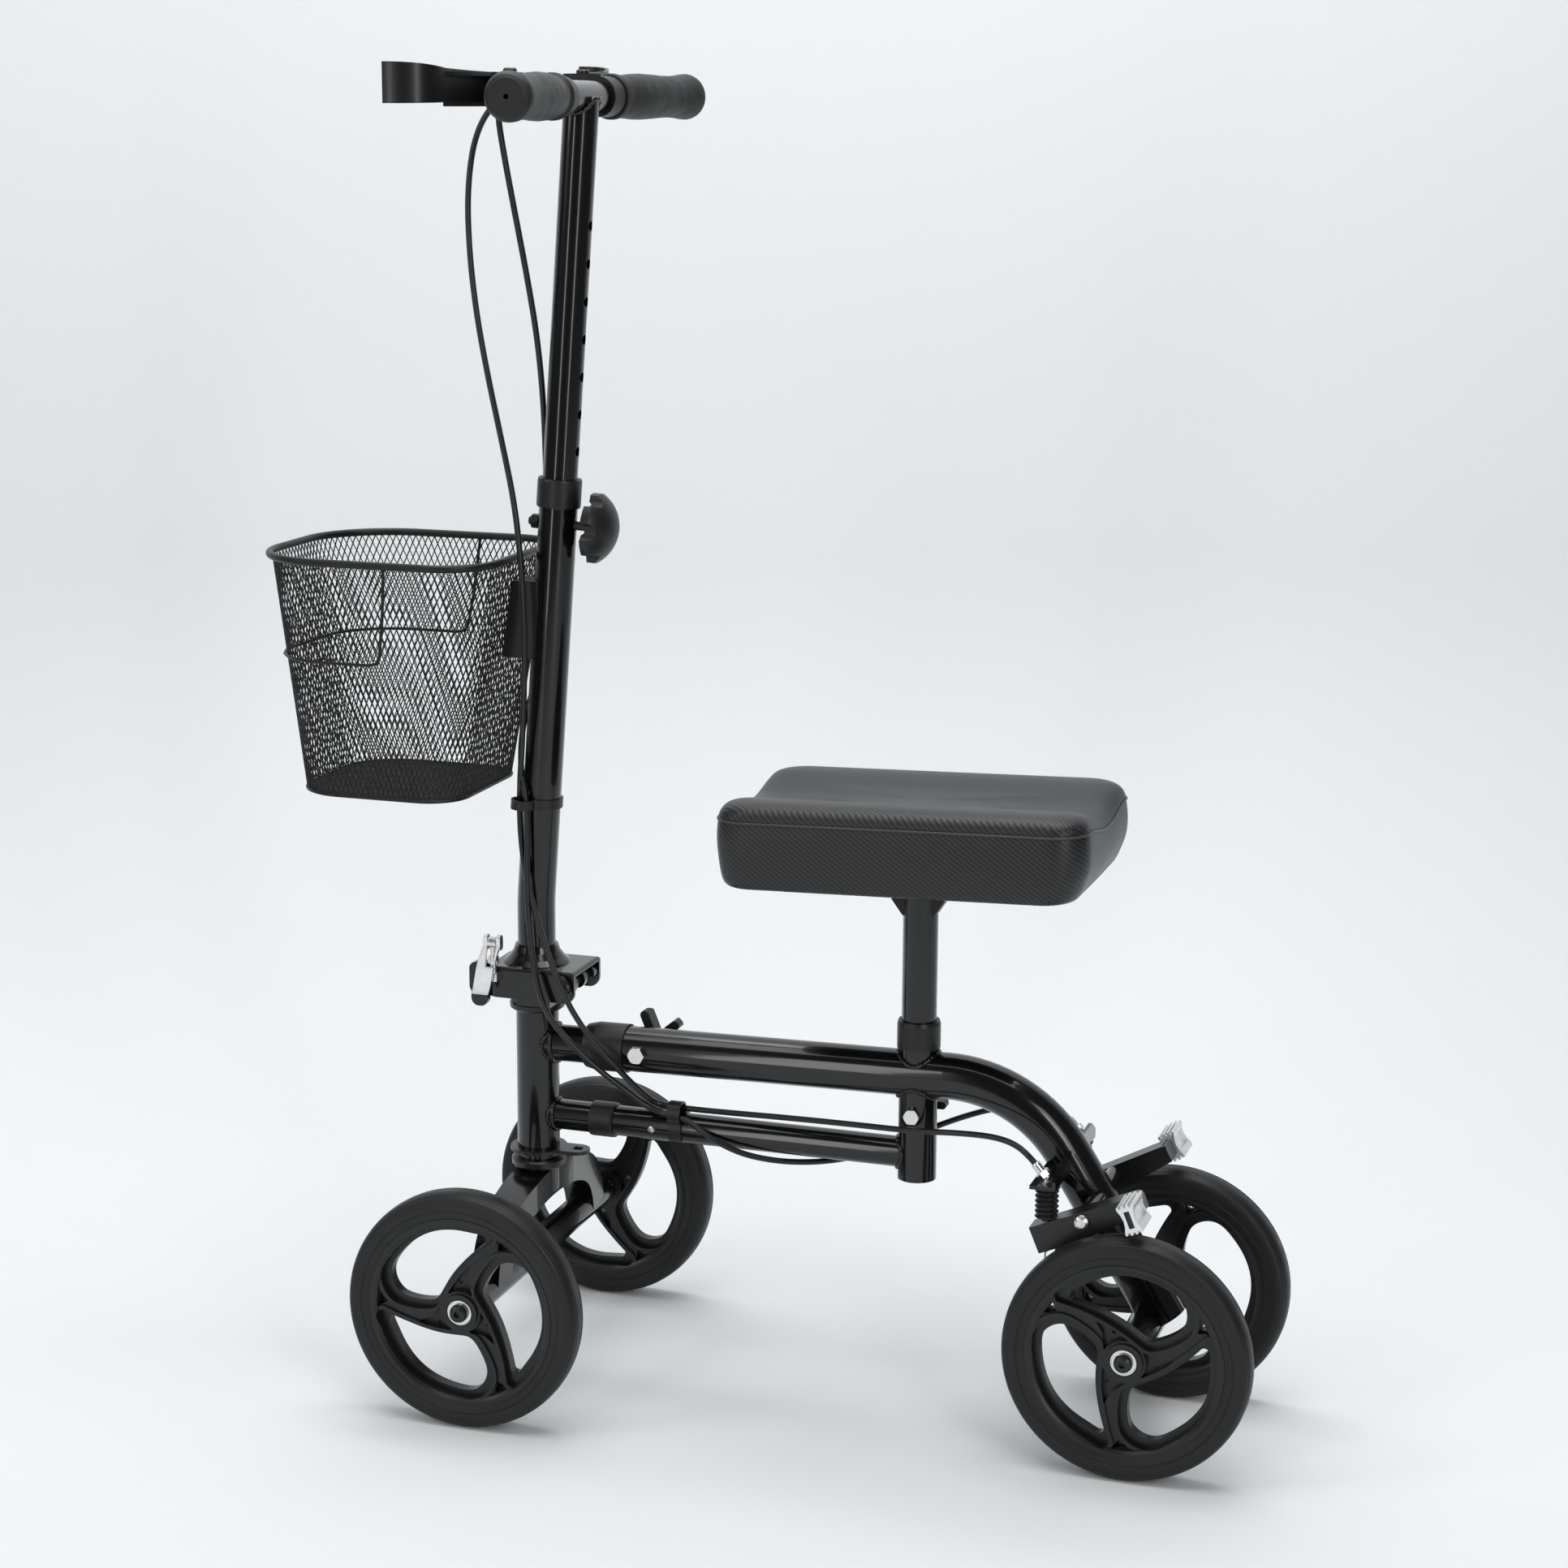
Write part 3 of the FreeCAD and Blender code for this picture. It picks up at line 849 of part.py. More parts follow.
A_UP = [(527.6, -41.6, 1069.5), (545.0, -31.0, 1069.5), (568.0, -24.0, 1063.0), (587.0, -21.5, 1036.0), (593.5, -18.5, 992.0), (591.0, -14.0, 944.0),
        (583.0, -8.0, 893.0), (570.5, -1.0, 842.0), (554.5, 10.0, 792.0), (538.0, 22.5, 741.0), (530.6, 28.0, 692.0), (527.6, 29.5, 642.0),
        (529.0, 28.0, 592.0), (534.5, 21.0, 541.0), (540.0, 14.5, 500.0), (540.0, 14.5, 486.0)]
B_UP = [(527.6, 41.6, 1069.5), (540.0, 34.5, 1068.0), (546.0, 29.5, 1052.0), (541.5, 28.0, 1020.0), (534.5, 24.0, 975.0), (528.0, 16.0, 925.0),
        (523.5, 5.0, 872.0), (523.5, -7.0, 815.0), (526.0, -16.0, 760.0), (527.5, -21.5, 705.0), (529.5, -22.5, 650.0), (534.0, -16.0, 596.0),
        (543.5, 0.0, 552.0), (539.0, 14.5, 517.0), (532.0, 19.8, 497.0), (531.5, 20.0, 484.0)]
A_FOLD = onward(A_UP, 18.0) + [(533.5, 21.5, 436.0), (521.5, 30.0, 402.0), (509.0, 36.0, 374.0)]
B_FOLD = onward(B_UP, 18.0) + [(529.5, 25.5, 432.0), (526.5, 31.5, 398.0), (521.0, 36.5, 366.0)]
A_STEER = onward(A_FOLD, 21.0) + [(483.0, 40.5, 319.0), (461.5, 35.0, 289.5), (443.0, 26.5, 266.0), (430.0, 14.0, 247.5), (421.5, 4.4, 237.2), (412.0, 4.0, 236.8)]
B_STEER = onward(B_FOLD, 24.0) + [(505.5, 39.5, 314.0), (485.5, 34.5, 289.5), (462.5, 28.5, 268.0), (440.0, 19.5, 248.5), (423.5, 12.4, 234.0), (412.0, 12.6, 232.6)]
A_REAR = onward(A_STEER, 18.0) + [(360.0, 6.5, 237.5), (305.0, 12.0, 240.5), (250.0, 18.0, 243.0), (195.0, 24.5, 245.0), (152.0, 34.0, 251.0),
                                  (122.0, 45.5, 255.0), (103.0, 53.5, 254.0), (89.50, 59.0, 247.69), (81.33, 59.0, 238.39)]
B_REAR = onward(B_STEER, 16.0) + [(382.0, 17.0, 224.5), (366.0, 18.6, 215.5), (340.0, 14.0, 204.0), (303.0, 3.0, 198.5), (263.0, -10.0, 201.5), (228.0, -20.0, 214.0), (195.0, -25.5, 231.0),
                                  (158.0, -34.0, 246.5), (122.0, -45.5, 255.0), (103.0, -53.5, 254.0), (89.50, -59.0, 247.69), (81.33, -59.0, 238.39)]
lengths = {}
for node, routes in (("cables_upper", (A_UP, B_UP)), ("cables_fold", (A_FOLD, B_FOLD)), ("cables_steer", (A_STEER, B_STEER)), ("cables_rear", (A_REAR, B_REAR))):
    solids = []
    for r in routes:
        w, radii = path_wire(r)
        s = pipe(w, CABLE_R)
        solids.append(s)
        lengths.setdefault(node, []).append(round(w.Length, 1))
        print(node, "length", round(w.Length, 1), "volume ratio", round(s.Volume / (math.pi * CABLE_R ** 2 * w.Length), 4), "radii", [round(x, 1) for x in radii])
    put(node, group(solids))
print("cable lengths", lengths)
for tag, rt in (("A_UP", A_UP), ("B_UP", B_UP), ("A_FOLD", A_FOLD), ("B_FOLD", B_FOLD), ("A_STEER", A_STEER), ("B_STEER", B_STEER), ("A_REAR", A_REAR), ("B_REAR", B_REAR)):
    print(tag, [tuple(round(v, 2) for v in q) for q in rt])

nodes["lever_brackets"] = group([s.cut(nodes["cables_upper"]) for s in nodes["lever_brackets"].Solids])

# ---------------------------------------------------------------- export
os.makedirs("parts", exist_ok=True)
for name, shape in nodes.items():
    shape = shape.copy()
    shape.translate(V(-ORIGIN_X, 0, 0))
    if not shape.isValid():
        print("INVALID", name)
    shape.exportStep("parts/" + name + ".step")
print(len(nodes), "nodes")
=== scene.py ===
import bpy
import bmesh
import json
import math
import random
from mathutils import Matrix, Vector


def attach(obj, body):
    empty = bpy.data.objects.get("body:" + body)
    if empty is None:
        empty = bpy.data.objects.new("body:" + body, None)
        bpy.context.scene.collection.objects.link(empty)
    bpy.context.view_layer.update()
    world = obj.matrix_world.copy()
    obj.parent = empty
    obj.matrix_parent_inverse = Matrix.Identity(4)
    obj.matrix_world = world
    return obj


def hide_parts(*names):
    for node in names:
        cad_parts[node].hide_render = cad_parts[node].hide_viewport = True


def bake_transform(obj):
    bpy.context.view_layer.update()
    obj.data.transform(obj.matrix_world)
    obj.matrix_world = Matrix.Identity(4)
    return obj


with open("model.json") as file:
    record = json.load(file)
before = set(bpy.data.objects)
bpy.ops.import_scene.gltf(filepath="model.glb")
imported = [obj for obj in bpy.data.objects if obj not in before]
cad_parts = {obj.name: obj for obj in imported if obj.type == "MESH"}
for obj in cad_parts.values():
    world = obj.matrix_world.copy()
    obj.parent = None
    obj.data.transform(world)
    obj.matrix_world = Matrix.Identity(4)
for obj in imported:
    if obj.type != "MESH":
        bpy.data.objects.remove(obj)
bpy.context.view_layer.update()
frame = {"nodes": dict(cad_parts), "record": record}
random.seed(7)
OX = 0.326                      # the route points below are measured from the rear axle


def P(x, y, z):
    """Millimetres from the rear axle to metres in the row frame."""
    return Vector((x / 1000 - OX, y / 1000, z / 1000))


scene = bpy.context.scene
coll = scene.collection

# ---------------------------------------------------------------- camera
yaw, pit, rol = 0.3144, 0.2136, 0.0062
d = Vector((math.sin(yaw) * math.cos(pit), -math.cos(yaw) * math.cos(pit), -math.sin(pit)))
r = d.cross(Vector((0, 0, 1))).normalized()
u = r.cross(d)
r2 = math.cos(rol) * r + math.sin(rol) * u
u2 = -math.sin(rol) * r + math.cos(rol) * u
cam = bpy.data.objects.new("camera", bpy.data.cameras.new("camera"))
coll.objects.link(cam)
cam.data.lens, cam.data.sensor_width = 73.155, 36.0
cam.data.clip_start, cam.data.clip_end = 0.05, 60
cam.matrix_world = Matrix.Translation(P(-467.88, 2403.97, 1067.86)) @ Matrix((r2, u2, -d)).transposed().to_4x4()
scene.camera = cam
scene.view_settings.view_transform = "Standard"
scene.view_settings.look = "None"


# ---------------------------------------------------------------- materials
def material(name, color, metallic=0.0, rough=0.5, coat=0.0, coat_rough=0.05, spec=0.5, bump=None, ior=1.5, sheen=0.0, rough_var=None):
    m = bpy.data.materials.new(name)
    m.use_nodes = True
    nt = m.node_tree
    b = nt.nodes["Principled BSDF"]
    b.inputs["Base Color"].default_value = (*color, 1)
    b.inputs["Metallic"].default_value = metallic
    b.inputs["Roughness"].default_value = rough
    b.inputs["IOR"].default_value = ior
    b.inputs["Coat Weight"].default_value = coat
    b.inputs["Coat Roughness"].default_value = coat_rough
    b.inputs["Specular IOR Level"].default_value = spec
    b.inputs["Sheen Weight"].default_value = sheen
    coord = None
    if bump or rough_var:
        coord = nt.nodes.new("ShaderNodeTexCoord")
    if rough_var:
        scale, lo, hi = rough_var
        n = nt.nodes.new("ShaderNodeTexNoise")
        n.inputs["Scale"].default_value = scale
        n.inputs["Detail"].default_value = 4
        mp = nt.nodes.new("ShaderNodeMapRange")
        mp.inputs["From Min"].default_value = 0.3
        mp.inputs["From Max"].default_value = 0.7
        mp.inputs["To Min"].default_value = lo
        mp.inputs["To Max"].default_value = hi
        nt.links.new(coord.outputs["Object"], n.inputs["Vector"])
        nt.links.new(n.outputs["Fac"], mp.inputs["Value"])
        nt.links.new(mp.outputs["Result"], b.inputs["Roughness"])
    if bump:
        scale, strength, dist = bump
        n = nt.nodes.new("ShaderNodeTexNoise")
        n.inputs["Scale"].default_value = scale
        n.inputs["Detail"].default_value = 2
        bp = nt.nodes.new("ShaderNodeBump")
        bp.inputs["Strength"].default_value = strength
        bp.inputs["Distance"].default_value = dist
        nt.links.new(coord.outputs["Object"], n.inputs["Vector"])
        nt.links.new(n.outputs["Fac"], bp.inputs["Height"])
        nt.links.new(bp.outputs["Normal"], b.inputs["Normal"])
    return m


M = {
    "gloss_black": material("gloss_black", (0.0035, 0.0035, 0.0038), rough=0.20, coat=0.45, coat_rough=0.05, spec=0.30, bump=(420, 0.05, 0.0004)),
    "satin_black_plastic": material("satin_black_plastic", (0.008, 0.008, 0.0086), rough=0.40, spec=0.4, bump=(1400, 0.12, 0.0002)),
    "rim_plastic": material("rim_plastic", (0.0065, 0.0066, 0.0071), rough=0.33, spec=0.42, bump=(900, 0.10, 0.0002)),
    "tyre_rubber": material("tyre_rubber", (0.0085, 0.0086, 0.0092), rough=0.46, spec=0.35, bump=(700, 0.10, 0.0002), rough_var=(60, 0.40, 0.52)),
    "grip_rubber": material("grip_rubber", (0.0085, 0.0085, 0.0088), rough=0.52, spec=0.4, bump=(1100, 0.25, 0.0003), rough_var=(90, 0.46, 0.60)),
    "bellows_rubber": material("bellows_rubber", (0.007, 0.007, 0.0074), rough=0.44, spec=0.4, bump=(900, 0.15, 0.0002)),
    "zinc": material("zinc", (0.72, 0.71, 0.69), metallic=1.0, rough=0.24, bump=(600, 0.10, 0.0002), rough_var=(120, 0.18, 0.34)),
    "bearing_steel": material("bearing_steel", (0.78, 0.78, 0.79), metallic=1.0, rough=0.16, rough_var=(150, 0.12, 0.24)),
    "raw_aluminium": material("raw_aluminium", (0.80, 0.80, 0.81), metallic=1.0, rough=0.30, bump=(500, 0.15, 0.0002), rough_var=(100, 0.24, 0.40)),
    "cable_black": material("cable_black", (0.006, 0.006, 0.0065), rough=0.32, coat=0.15, coat_rough=0.15, spec=0.4),
    "pad_board": material("pad_board", (0.006, 0.006, 0.006), rough=0.5, spec=0.35),
    "basket_wire": material("basket_wire", (0.006, 0.006, 0.0063), rough=0.40, spec=0.35),
    "lever_black": material("lever_black", (0.006, 0.006, 0.0066), rough=0.34, coat=0.15, coat_rough=0.2, spec=0.4, bump=(900, 0.08, 0.0002)),
    "button_plastic": material("button_plastic", (0.62, 0.61, 0.60), metallic=1.0, rough=0.3),
    "steel_raw": material("steel_raw", (0.42, 0.42, 0.43), metallic=1.0, rough=0.38, rough_var=(140, 0.3, 0.46)),
}

# carbon-twill vinyl: a diagonal twill on the cover's own UV lengths, one unit a millimetre
vm = material("vinyl", (0.014, 0.0143, 0.0152), rough=0.40, coat=0.10, coat_rough=0.35, spec=0.35)
nt = vm.node_tree
b = nt.nodes["Principled BSDF"]
uvn = nt.nodes.new("ShaderNodeUVMap")
uvn.uv_map = "twill"
sep = nt.nodes.new("ShaderNodeSeparateXYZ")
nt.links.new(uvn.outputs["UV"], sep.inputs[0])


def mth(op, a, b_=None, v=None):
    n = nt.nodes.new("ShaderNodeMath")
    n.operation = op
    for i, q in enumerate((a, b_)):
        if q is None:
            continue
        if isinstance(q, (int, float)):
            n.inputs[i].default_value = q
        else:
            nt.links.new(q, n.inputs[i])
    return n.outputs[0]


# lines run along v = 0.78 u, 5.3 mm apart along u
across = mth("SUBTRACT", mth("MULTIPLY", sep.outputs[1], 1000.0), mth("MULTIPLY", sep.outputs[0], 780.0))
along = mth("ADD", mth("MULTIPLY", sep.outputs[0], 1000.0), mth("MULTIPLY", sep.outputs[1], 780.0))
saw = mth("FRACT", mth("DIVIDE", across, 4.13))
tri = mth("MULTIPLY", mth("ABSOLUTE", mth("SUBTRACT", saw, 0.5)), 2.0)
rib = mth("SMOOTH_MIN", tri, 0.85)
thread = mth("ABSOLUTE", mth("SINE", mth("MULTIPLY", along, 3.1416 / 2.6)))
height = mth("ADD", rib, mth("MULTIPLY", thread, 0.18))
bn = nt.nodes.new("ShaderNodeBump")
bn.inputs["Strength"].default_value = 0.5
bn.inputs["Distance"].default_value = 0.0005
nt.links.new(height, bn.inputs["Height"])
nt.links.new(bn.outputs["Normal"], b.inputs["Normal"])
tone = mth("POWER", tri, 2.2)
mix = nt.nodes.new("ShaderNodeMix")
mix.data_type = "RGBA"
mix.inputs[6].default_value = (0.006, 0.0062, 0.0067, 1)
mix.inputs[7].default_value = (0.032, 0.033, 0.0352, 1)
nt.links.new(tone, mix.inputs[0])
nt.links.new(mix.outputs[2], b.inputs["Base Color"])
M["vinyl"] = vm

slots = {s["node"]: s["material_slot"] for s in frame["record"]["subparts"]}
for name, o in frame["nodes"].items():
    o.data.materials.clear()
    o.data.materials.append(M[slots[name]])


# ---------------------------------------------------------------- helpers
def mesh_object(name, verts, faces, mat, smooth=True):
    me = bpy.data.meshes.new(name)
    me.from_pydata([tuple(v) for v in verts], [], faces)
    me.materials.append(M[mat])
    if smooth:
        me.polygons.foreach_set("use_smooth", [True] * len(me.polygons))
    me.update()
    o = bpy.data.objects.new(name, me)
    coll.objects.link(o)
    return o


def finish_mesh(o):
    """Outward normals."""
    bm = bmesh.new()
    bm.from_mesh(o.data)
    bmesh.ops.recalc_face_normals(bm, faces=bm.faces)
    bm.to_mesh(o.data)
    bm.free()
    return o


def to_mesh(o, mat=None):
    """A curve object made into a mesh object of the same name."""
    name = o.name
    dg = bpy.context.evaluated_depsgraph_get()
    me = bpy.data.meshes.new_from_object(o.evaluated_get(dg))
    old = o.data
    bpy.data.objects.remove(o)
    me.polygons.foreach_set("use_smooth", [True] * len(me.polygons))
    if mat:
        me.materials.clear()
        me.materials.append(M[mat])
    q = bpy.data.objects.new(name, me)
    coll.objects.link(q)
    bpy.data.curves.remove(old)
    return q


def wire(name, runs, radius, mat, cyclic=False, kind="POLY", res=1, order=3):
    """Several polylines or splines of round section in one curve object."""
    cu = bpy.data.curves.new(name, "CURVE")
    cu.dimensions = "3D"
    cu.bevel_depth = radius
    cu.bevel_resolution = res
    cu.use_fill_caps = True
    cu.resolution_u = 10
    for pts in runs:
        sp = cu.splines.new(kind)
        sp.points.add(len(pts) - 1)
        for i, q in enumerate(pts):
            sp.points[i].co = (*q, 1)
        sp.use_cyclic_u = cyclic
        if kind == "NURBS":
            sp.order_u = order
            sp.use_endpoint_u = not cyclic
    cu.materials.append(M[mat])
    o = bpy.data.objects.new(name, cu)
    coll.objects.link(o)
    return o


def lathe(name, profile, centre, mat, n=40, axis="Z"):
    verts, faces = [], []
    for rr, z in profile:
        for i in range(n):
            a = 2 * math.pi * i / n
            verts.append((centre[0] + rr * math.cos(a), centre[1] + rr * math.sin(a), centre[2] + z))
    k = len(profile)
    for j in range(k - 1):
        for i in range(n):
            i2 = (i + 1) % n
            faces.append((j * n + i, j * n + i2, (j + 1) * n + i2, (j + 1) * n + i))
    faces.append(tuple(range(n))[::-1])
    faces.append(tuple((k - 1) * n + i for i in range(n)))
    return finish_mesh(mesh_object(name, verts, faces, mat))


# ---------------------------------------------------------------- brake cables
A_UP = [(527.6, -41.6, 1069.5), (545.0, -31.0, 1069.5), (568.0, -24.0, 1063.0), (587.0, -21.5, 1036.0), (593.5, -18.5, 992.0), (591.0, -14.0, 944.0),
        (583.0, -8.0, 893.0), (570.5, -1.0, 842.0), (554.5, 10.0, 792.0), (538.0, 22.5, 741.0), (530.6, 28.0, 692.0), (527.6, 29.5, 642.0),
        (529.0, 28.0, 592.0), (534.5, 21.0, 541.0), (540.0, 14.5, 500.0), (540.0, 14.5, 486.0)]
B_UP = [(527.6, 41.6, 1069.5), (540.0, 34.5, 1068.0), (546.0, 29.5, 1052.0), (541.5, 28.0, 1020.0), (534.5, 24.0, 975.0), (528.0, 16.0, 925.0),
        (523.5, 5.0, 872.0), (523.5, -7.0, 815.0), (526.0, -16.0, 760.0), (527.5, -21.5, 705.0), (529.5, -22.5, 650.0), (534.0, -16.0, 596.0),
        (543.5, 0.0, 552.0), (539.0, 14.5, 517.0), (532.0, 19.8, 497.0), (531.5, 20.0, 484.0)]
A_FOLD = [(540.0, 14.5, 486.0), (540.0, 14.5, 467.6), (533.5, 21.5, 436.0), (521.5, 30.0, 402.0), (509.0, 36.0, 374.0)]
B_FOLD = [(531.5, 20.0, 484.0), (530.79, 20.28, 465.62), (529.5, 25.5, 432.0), (526.5, 31.5, 398.0), (521.0, 36.5, 366.0)]
A_STEER = [(509.0, 36.0, 374.0), (500.44, 40.11, 354.82), (483.0, 40.5, 319.0), (461.5, 35.0, 289.5), (443.0, 26.5, 266.0), (430.0, 14.0, 247.5),
           (421.5, 4.4, 237.2), (412.0, 4.0, 236.8)]
B_STEER = [(521.0, 36.5, 366.0), (516.92, 40.21, 342.23), (505.5, 39.5, 314.0), (485.5, 34.5, 289.5), (462.5, 28.5, 268.0), (440.0, 19.5, 248.5),
           (423.5, 12.4, 234.0), (412.0, 12.6, 232.6)]
A_REAR = [(412.0, 4.0, 236.8), (393.63, 3.23, 236.03), (360.0, 6.5, 237.5), (305.0, 12.0, 240.5), (250.0, 18.0, 243.0), (195.0, 24.5, 245.0),
          (152.0, 34.0, 251.0), (122.0, 45.5, 255.0), (103.0, 53.5, 254.0), (89.5, 59.0, 247.69), (81.33, 59.0, 238.39)]
B_REAR = [(412.0, 12.6, 232.6), (395.72, 12.88, 230.62), (382.0, 17.0, 224.5), (366.0, 18.6, 215.5), (340.0, 14.0, 204.0), (303.0, 3.0, 198.5),
          (263.0, -10.0, 201.5), (228.0, -20.0, 214.0), (195.0, -25.5, 231.0), (158.0, -34.0, 246.5), (122.0, -45.5, 255.0), (103.0, -53.5, 254.0),
          (89.5, -59.0, 247.69), (81.33, -59.0, 238.39)]
for node, routes, joint in (("cables_upper", (A_UP, B_UP), ("handle", "column", P(0, 0, 1040), P(0, 0, 540))),
                            ("cables_fold", (A_FOLD, B_FOLD), ("column", "fork", P(0, 0, 480), P(0, 0, 372))),
                            ("cables_steer", (A_STEER, B_STEER), ("fork", "frame", P(0, 0, 366), P(0, 0, 240))),
                            ("cables_rear", (A_REAR, B_REAR), None)):
    for tag, route in zip(("right_lever", "left_lever"), routes):
        c = to_mesh(wire(node + "_" + tag, [[P(*q) for q in route]], 0.0025, "cable_black", kind="NURBS", res=4))
        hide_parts(node)
        if joint:
            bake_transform(c)
        else:
            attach(c, "frame")

# ---------------------------------------------------------------- basket
RIM_Z, FLOOR_Z = 692.0, 497.0


def corner_outline(f, n, out=0.0):
    """n points round the basket's section; f is 0 at the floor and 1 at the rim."""
    x0, x1 = 573 + (542.6 - 573) * f - out, 722 + (747.0 - 722) * f + out
    hy = 76 + 20.5 * f + out
    r0, r1 = 34 + 6 * f + out, 45 + 23 * f + out
    segs = []
    q = math.pi / 2
    segs.append(("l", (x0 + r0, hy), (x1 - r1, hy)))
    segs.append(("a", (x1 - r1, hy - r1), r1, q, 0))
    segs.append(("l", (x1, hy - r1), (x1, -hy + r1)))
    segs.append(("a", (x1 - r1, -hy + r1), r1, 0, -q))
    segs.append(("l", (x1 - r1, -hy), (x0 + r0, -hy)))
    segs.append(("a", (x0 + r0, -hy + r0), r0, -q, -2 * q))
    segs.append(("l", (x0, -hy + r0), (x0, hy - r0)))
    segs.append(("a", (x0 + r0, hy - r0), r0, 2 * q, q))
    lens = [math.dist(s[1], s[2]) if s[0] == "l" else s[2] * q for s in segs]
    total = sum(lens)
    pts = []
    for i in range(n):
        t = total * i / n
        for s, ln in zip(segs, lens):
            if t <= ln:
                break
            t -= ln
        k = t / ln
        if s[0] == "l":
            pts.append((s[1][0] + (s[2][0] - s[1][0]) * k, s[1][1] + (s[2][1] - s[1][1]) * k))
        else:
            a = s[3] + (s[4] - s[3]) * k
            pts.append((s[1][0] + s[2] * math.cos(a), s[1][1] + s[2] * math.sin(a)))
    return pts


NC, ROWS = 118, 31
rings = []
for j in range(ROWS + 1):
    f = j / ROWS
    ring = corner_outline(f, NC * 2, -1.2)
    rings.append([P(x, y, FLOOR_Z + 1.2 + (RIM_Z - 0.2 - FLOOR_Z) * f) for x, y in ring])
strands = []
for k in range(NC):
    for sgn in (1, -1):
        line = []
        for j in range(ROWS + 1):
            line.append(rings[j][(2 * k + sgn * j) % (2 * NC)])
        strands.append(line)
# floor: diagonals clipped to the outline
fo = corner_outline(0.0, 72, -1.2)


def inside(x, y):
    c = False
    for i in range(len(fo)):
        (xa, ya), (xb, yb) = fo[i], fo[i - 1]
        if (ya > y) != (yb > y) and x < (xb - xa) * (y - ya) / (yb - ya) + xa:
            c = not c
    return c


for sgn in (1, -1):
    for k in range(-40, 41):
        line = []
        for t in range(-160, 161):
            x, y = 652 + t * 1.0, sgn * t * 1.18 + k * 6.6
            if inside(x, y):
                line.append(P(x, y, FLOOR_Z + 1.2))
        if len(line) > 2:
            strands.append([line[0], line[-1]])
mesh_wires = to_mesh(wire("basket_mesh", strands, 0.00056, "basket_wire", res=0))
edge = wire("basket_floor_edge", [[P(x, y, FLOOR_Z + 1.6) for x, y in corner_outline(0.01, 96, -1.0)]], 0.0014, "basket_wire", cyclic=True, res=2)
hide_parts("basket_shell")
for o in (mesh_wires, edge):
    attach(o, "basket")


def wall_point(x, side, z):
    """Point on the basket's side wall."""
    f = (z - FLOOR_Z) / (RIM_Z - FLOOR_Z)
    return P(x, side * (76 + 20.5 * f + 0.9), z)


f_ = (612 - FLOOR_Z) / (RIM_Z - FLOOR_Z)
x1, hy, rr1 = 722 + 25 * f_ + 0.8, 76 + 20.5 * f_ + 0.8, 45 + 23 * f_
hoop = [wall_point(621, 1, 692), wall_point(625, 1, 650), wall_point(629.5, 1, 620), wall_point(633, 1, 613.5), wall_point(640, 1, 612), P(660, hy, 612)]
for i in range(0, 7):
    a = math.pi / 2 * (1 - i / 6)
    hoop.append(P(x1 - rr1 + rr1 * math.cos(a), hy - rr1 + rr1 * math.sin(a), 612))
for i in range(1, 7):
    a = math.pi / 2 * (-i / 6)
    hoop.append(P(x1 - rr1 + rr1 * math.cos(a), -hy + rr1 + rr1 * math.sin(a), 612))
hoop += [P(660, -hy, 612), wall_point(640, -1, 612), wall_point(633, -1, 613.5), wall_point(629.5, -1, 620), wall_point(625, -1, 650), wall_point(621, -1, 692)]
h = wire("basket_hoop", [hoop], 0.00135, "basket_wire", res=3)
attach(h, "basket")

# ---------------------------------------------------------------- knee pad
PX0, PX1, PY, ZB = 42.0, 345.0, 91.0, 453.5


def smooth(a, b_, x):
    t = max(0.0, min(1.0, (x - a) / (b_ - a)))
    return t * t * (3 - 2 * t)


def crest(y):
    return ZB + 60.0 + 10.2 * smooth(6, 66, abs(y))


def rounded(hx, hy_, rad, n):
    """176 points round a rounded rectangle centred on 0, same share of each side at any inset; n is not used."""
    pts = []
    per = [("l", (-hx + rad, hy_), (hx - rad, hy_), 40), ("a", (hx - rad, hy_ - rad), math.pi / 2, 0, 10), ("l", (hx, hy_ - rad), (hx, -hy_ + rad), 28),
           ("a", (hx - rad, -hy_ + rad), 0, -math.pi / 2, 10), ("l", (hx - rad, -hy_), (-hx + rad, -hy_), 40), ("a", (-hx + rad, -hy_ + rad), -math.pi / 2, -math.pi, 10),
           ("l", (-hx, -hy_ + rad), (-hx, hy_ - rad), 28), ("a", (-hx + rad, hy_ - rad), math.pi, math.pi / 2, 10)]
    for s in per:
        for i in range(s[-1]):
            k = i / s[-1]
            if s[0] == "l":
                pts.append((s[1][0] + (s[2][0] - s[1][0]) * k, s[1][1] + (s[2][1] - s[1][1]) * k))
            else:
                a = s[2] + (s[3] - s[2]) * k
                pts.append((s[1][0] + rad * math.cos(a), s[1][1] + rad * math.sin(a)))
    return pts


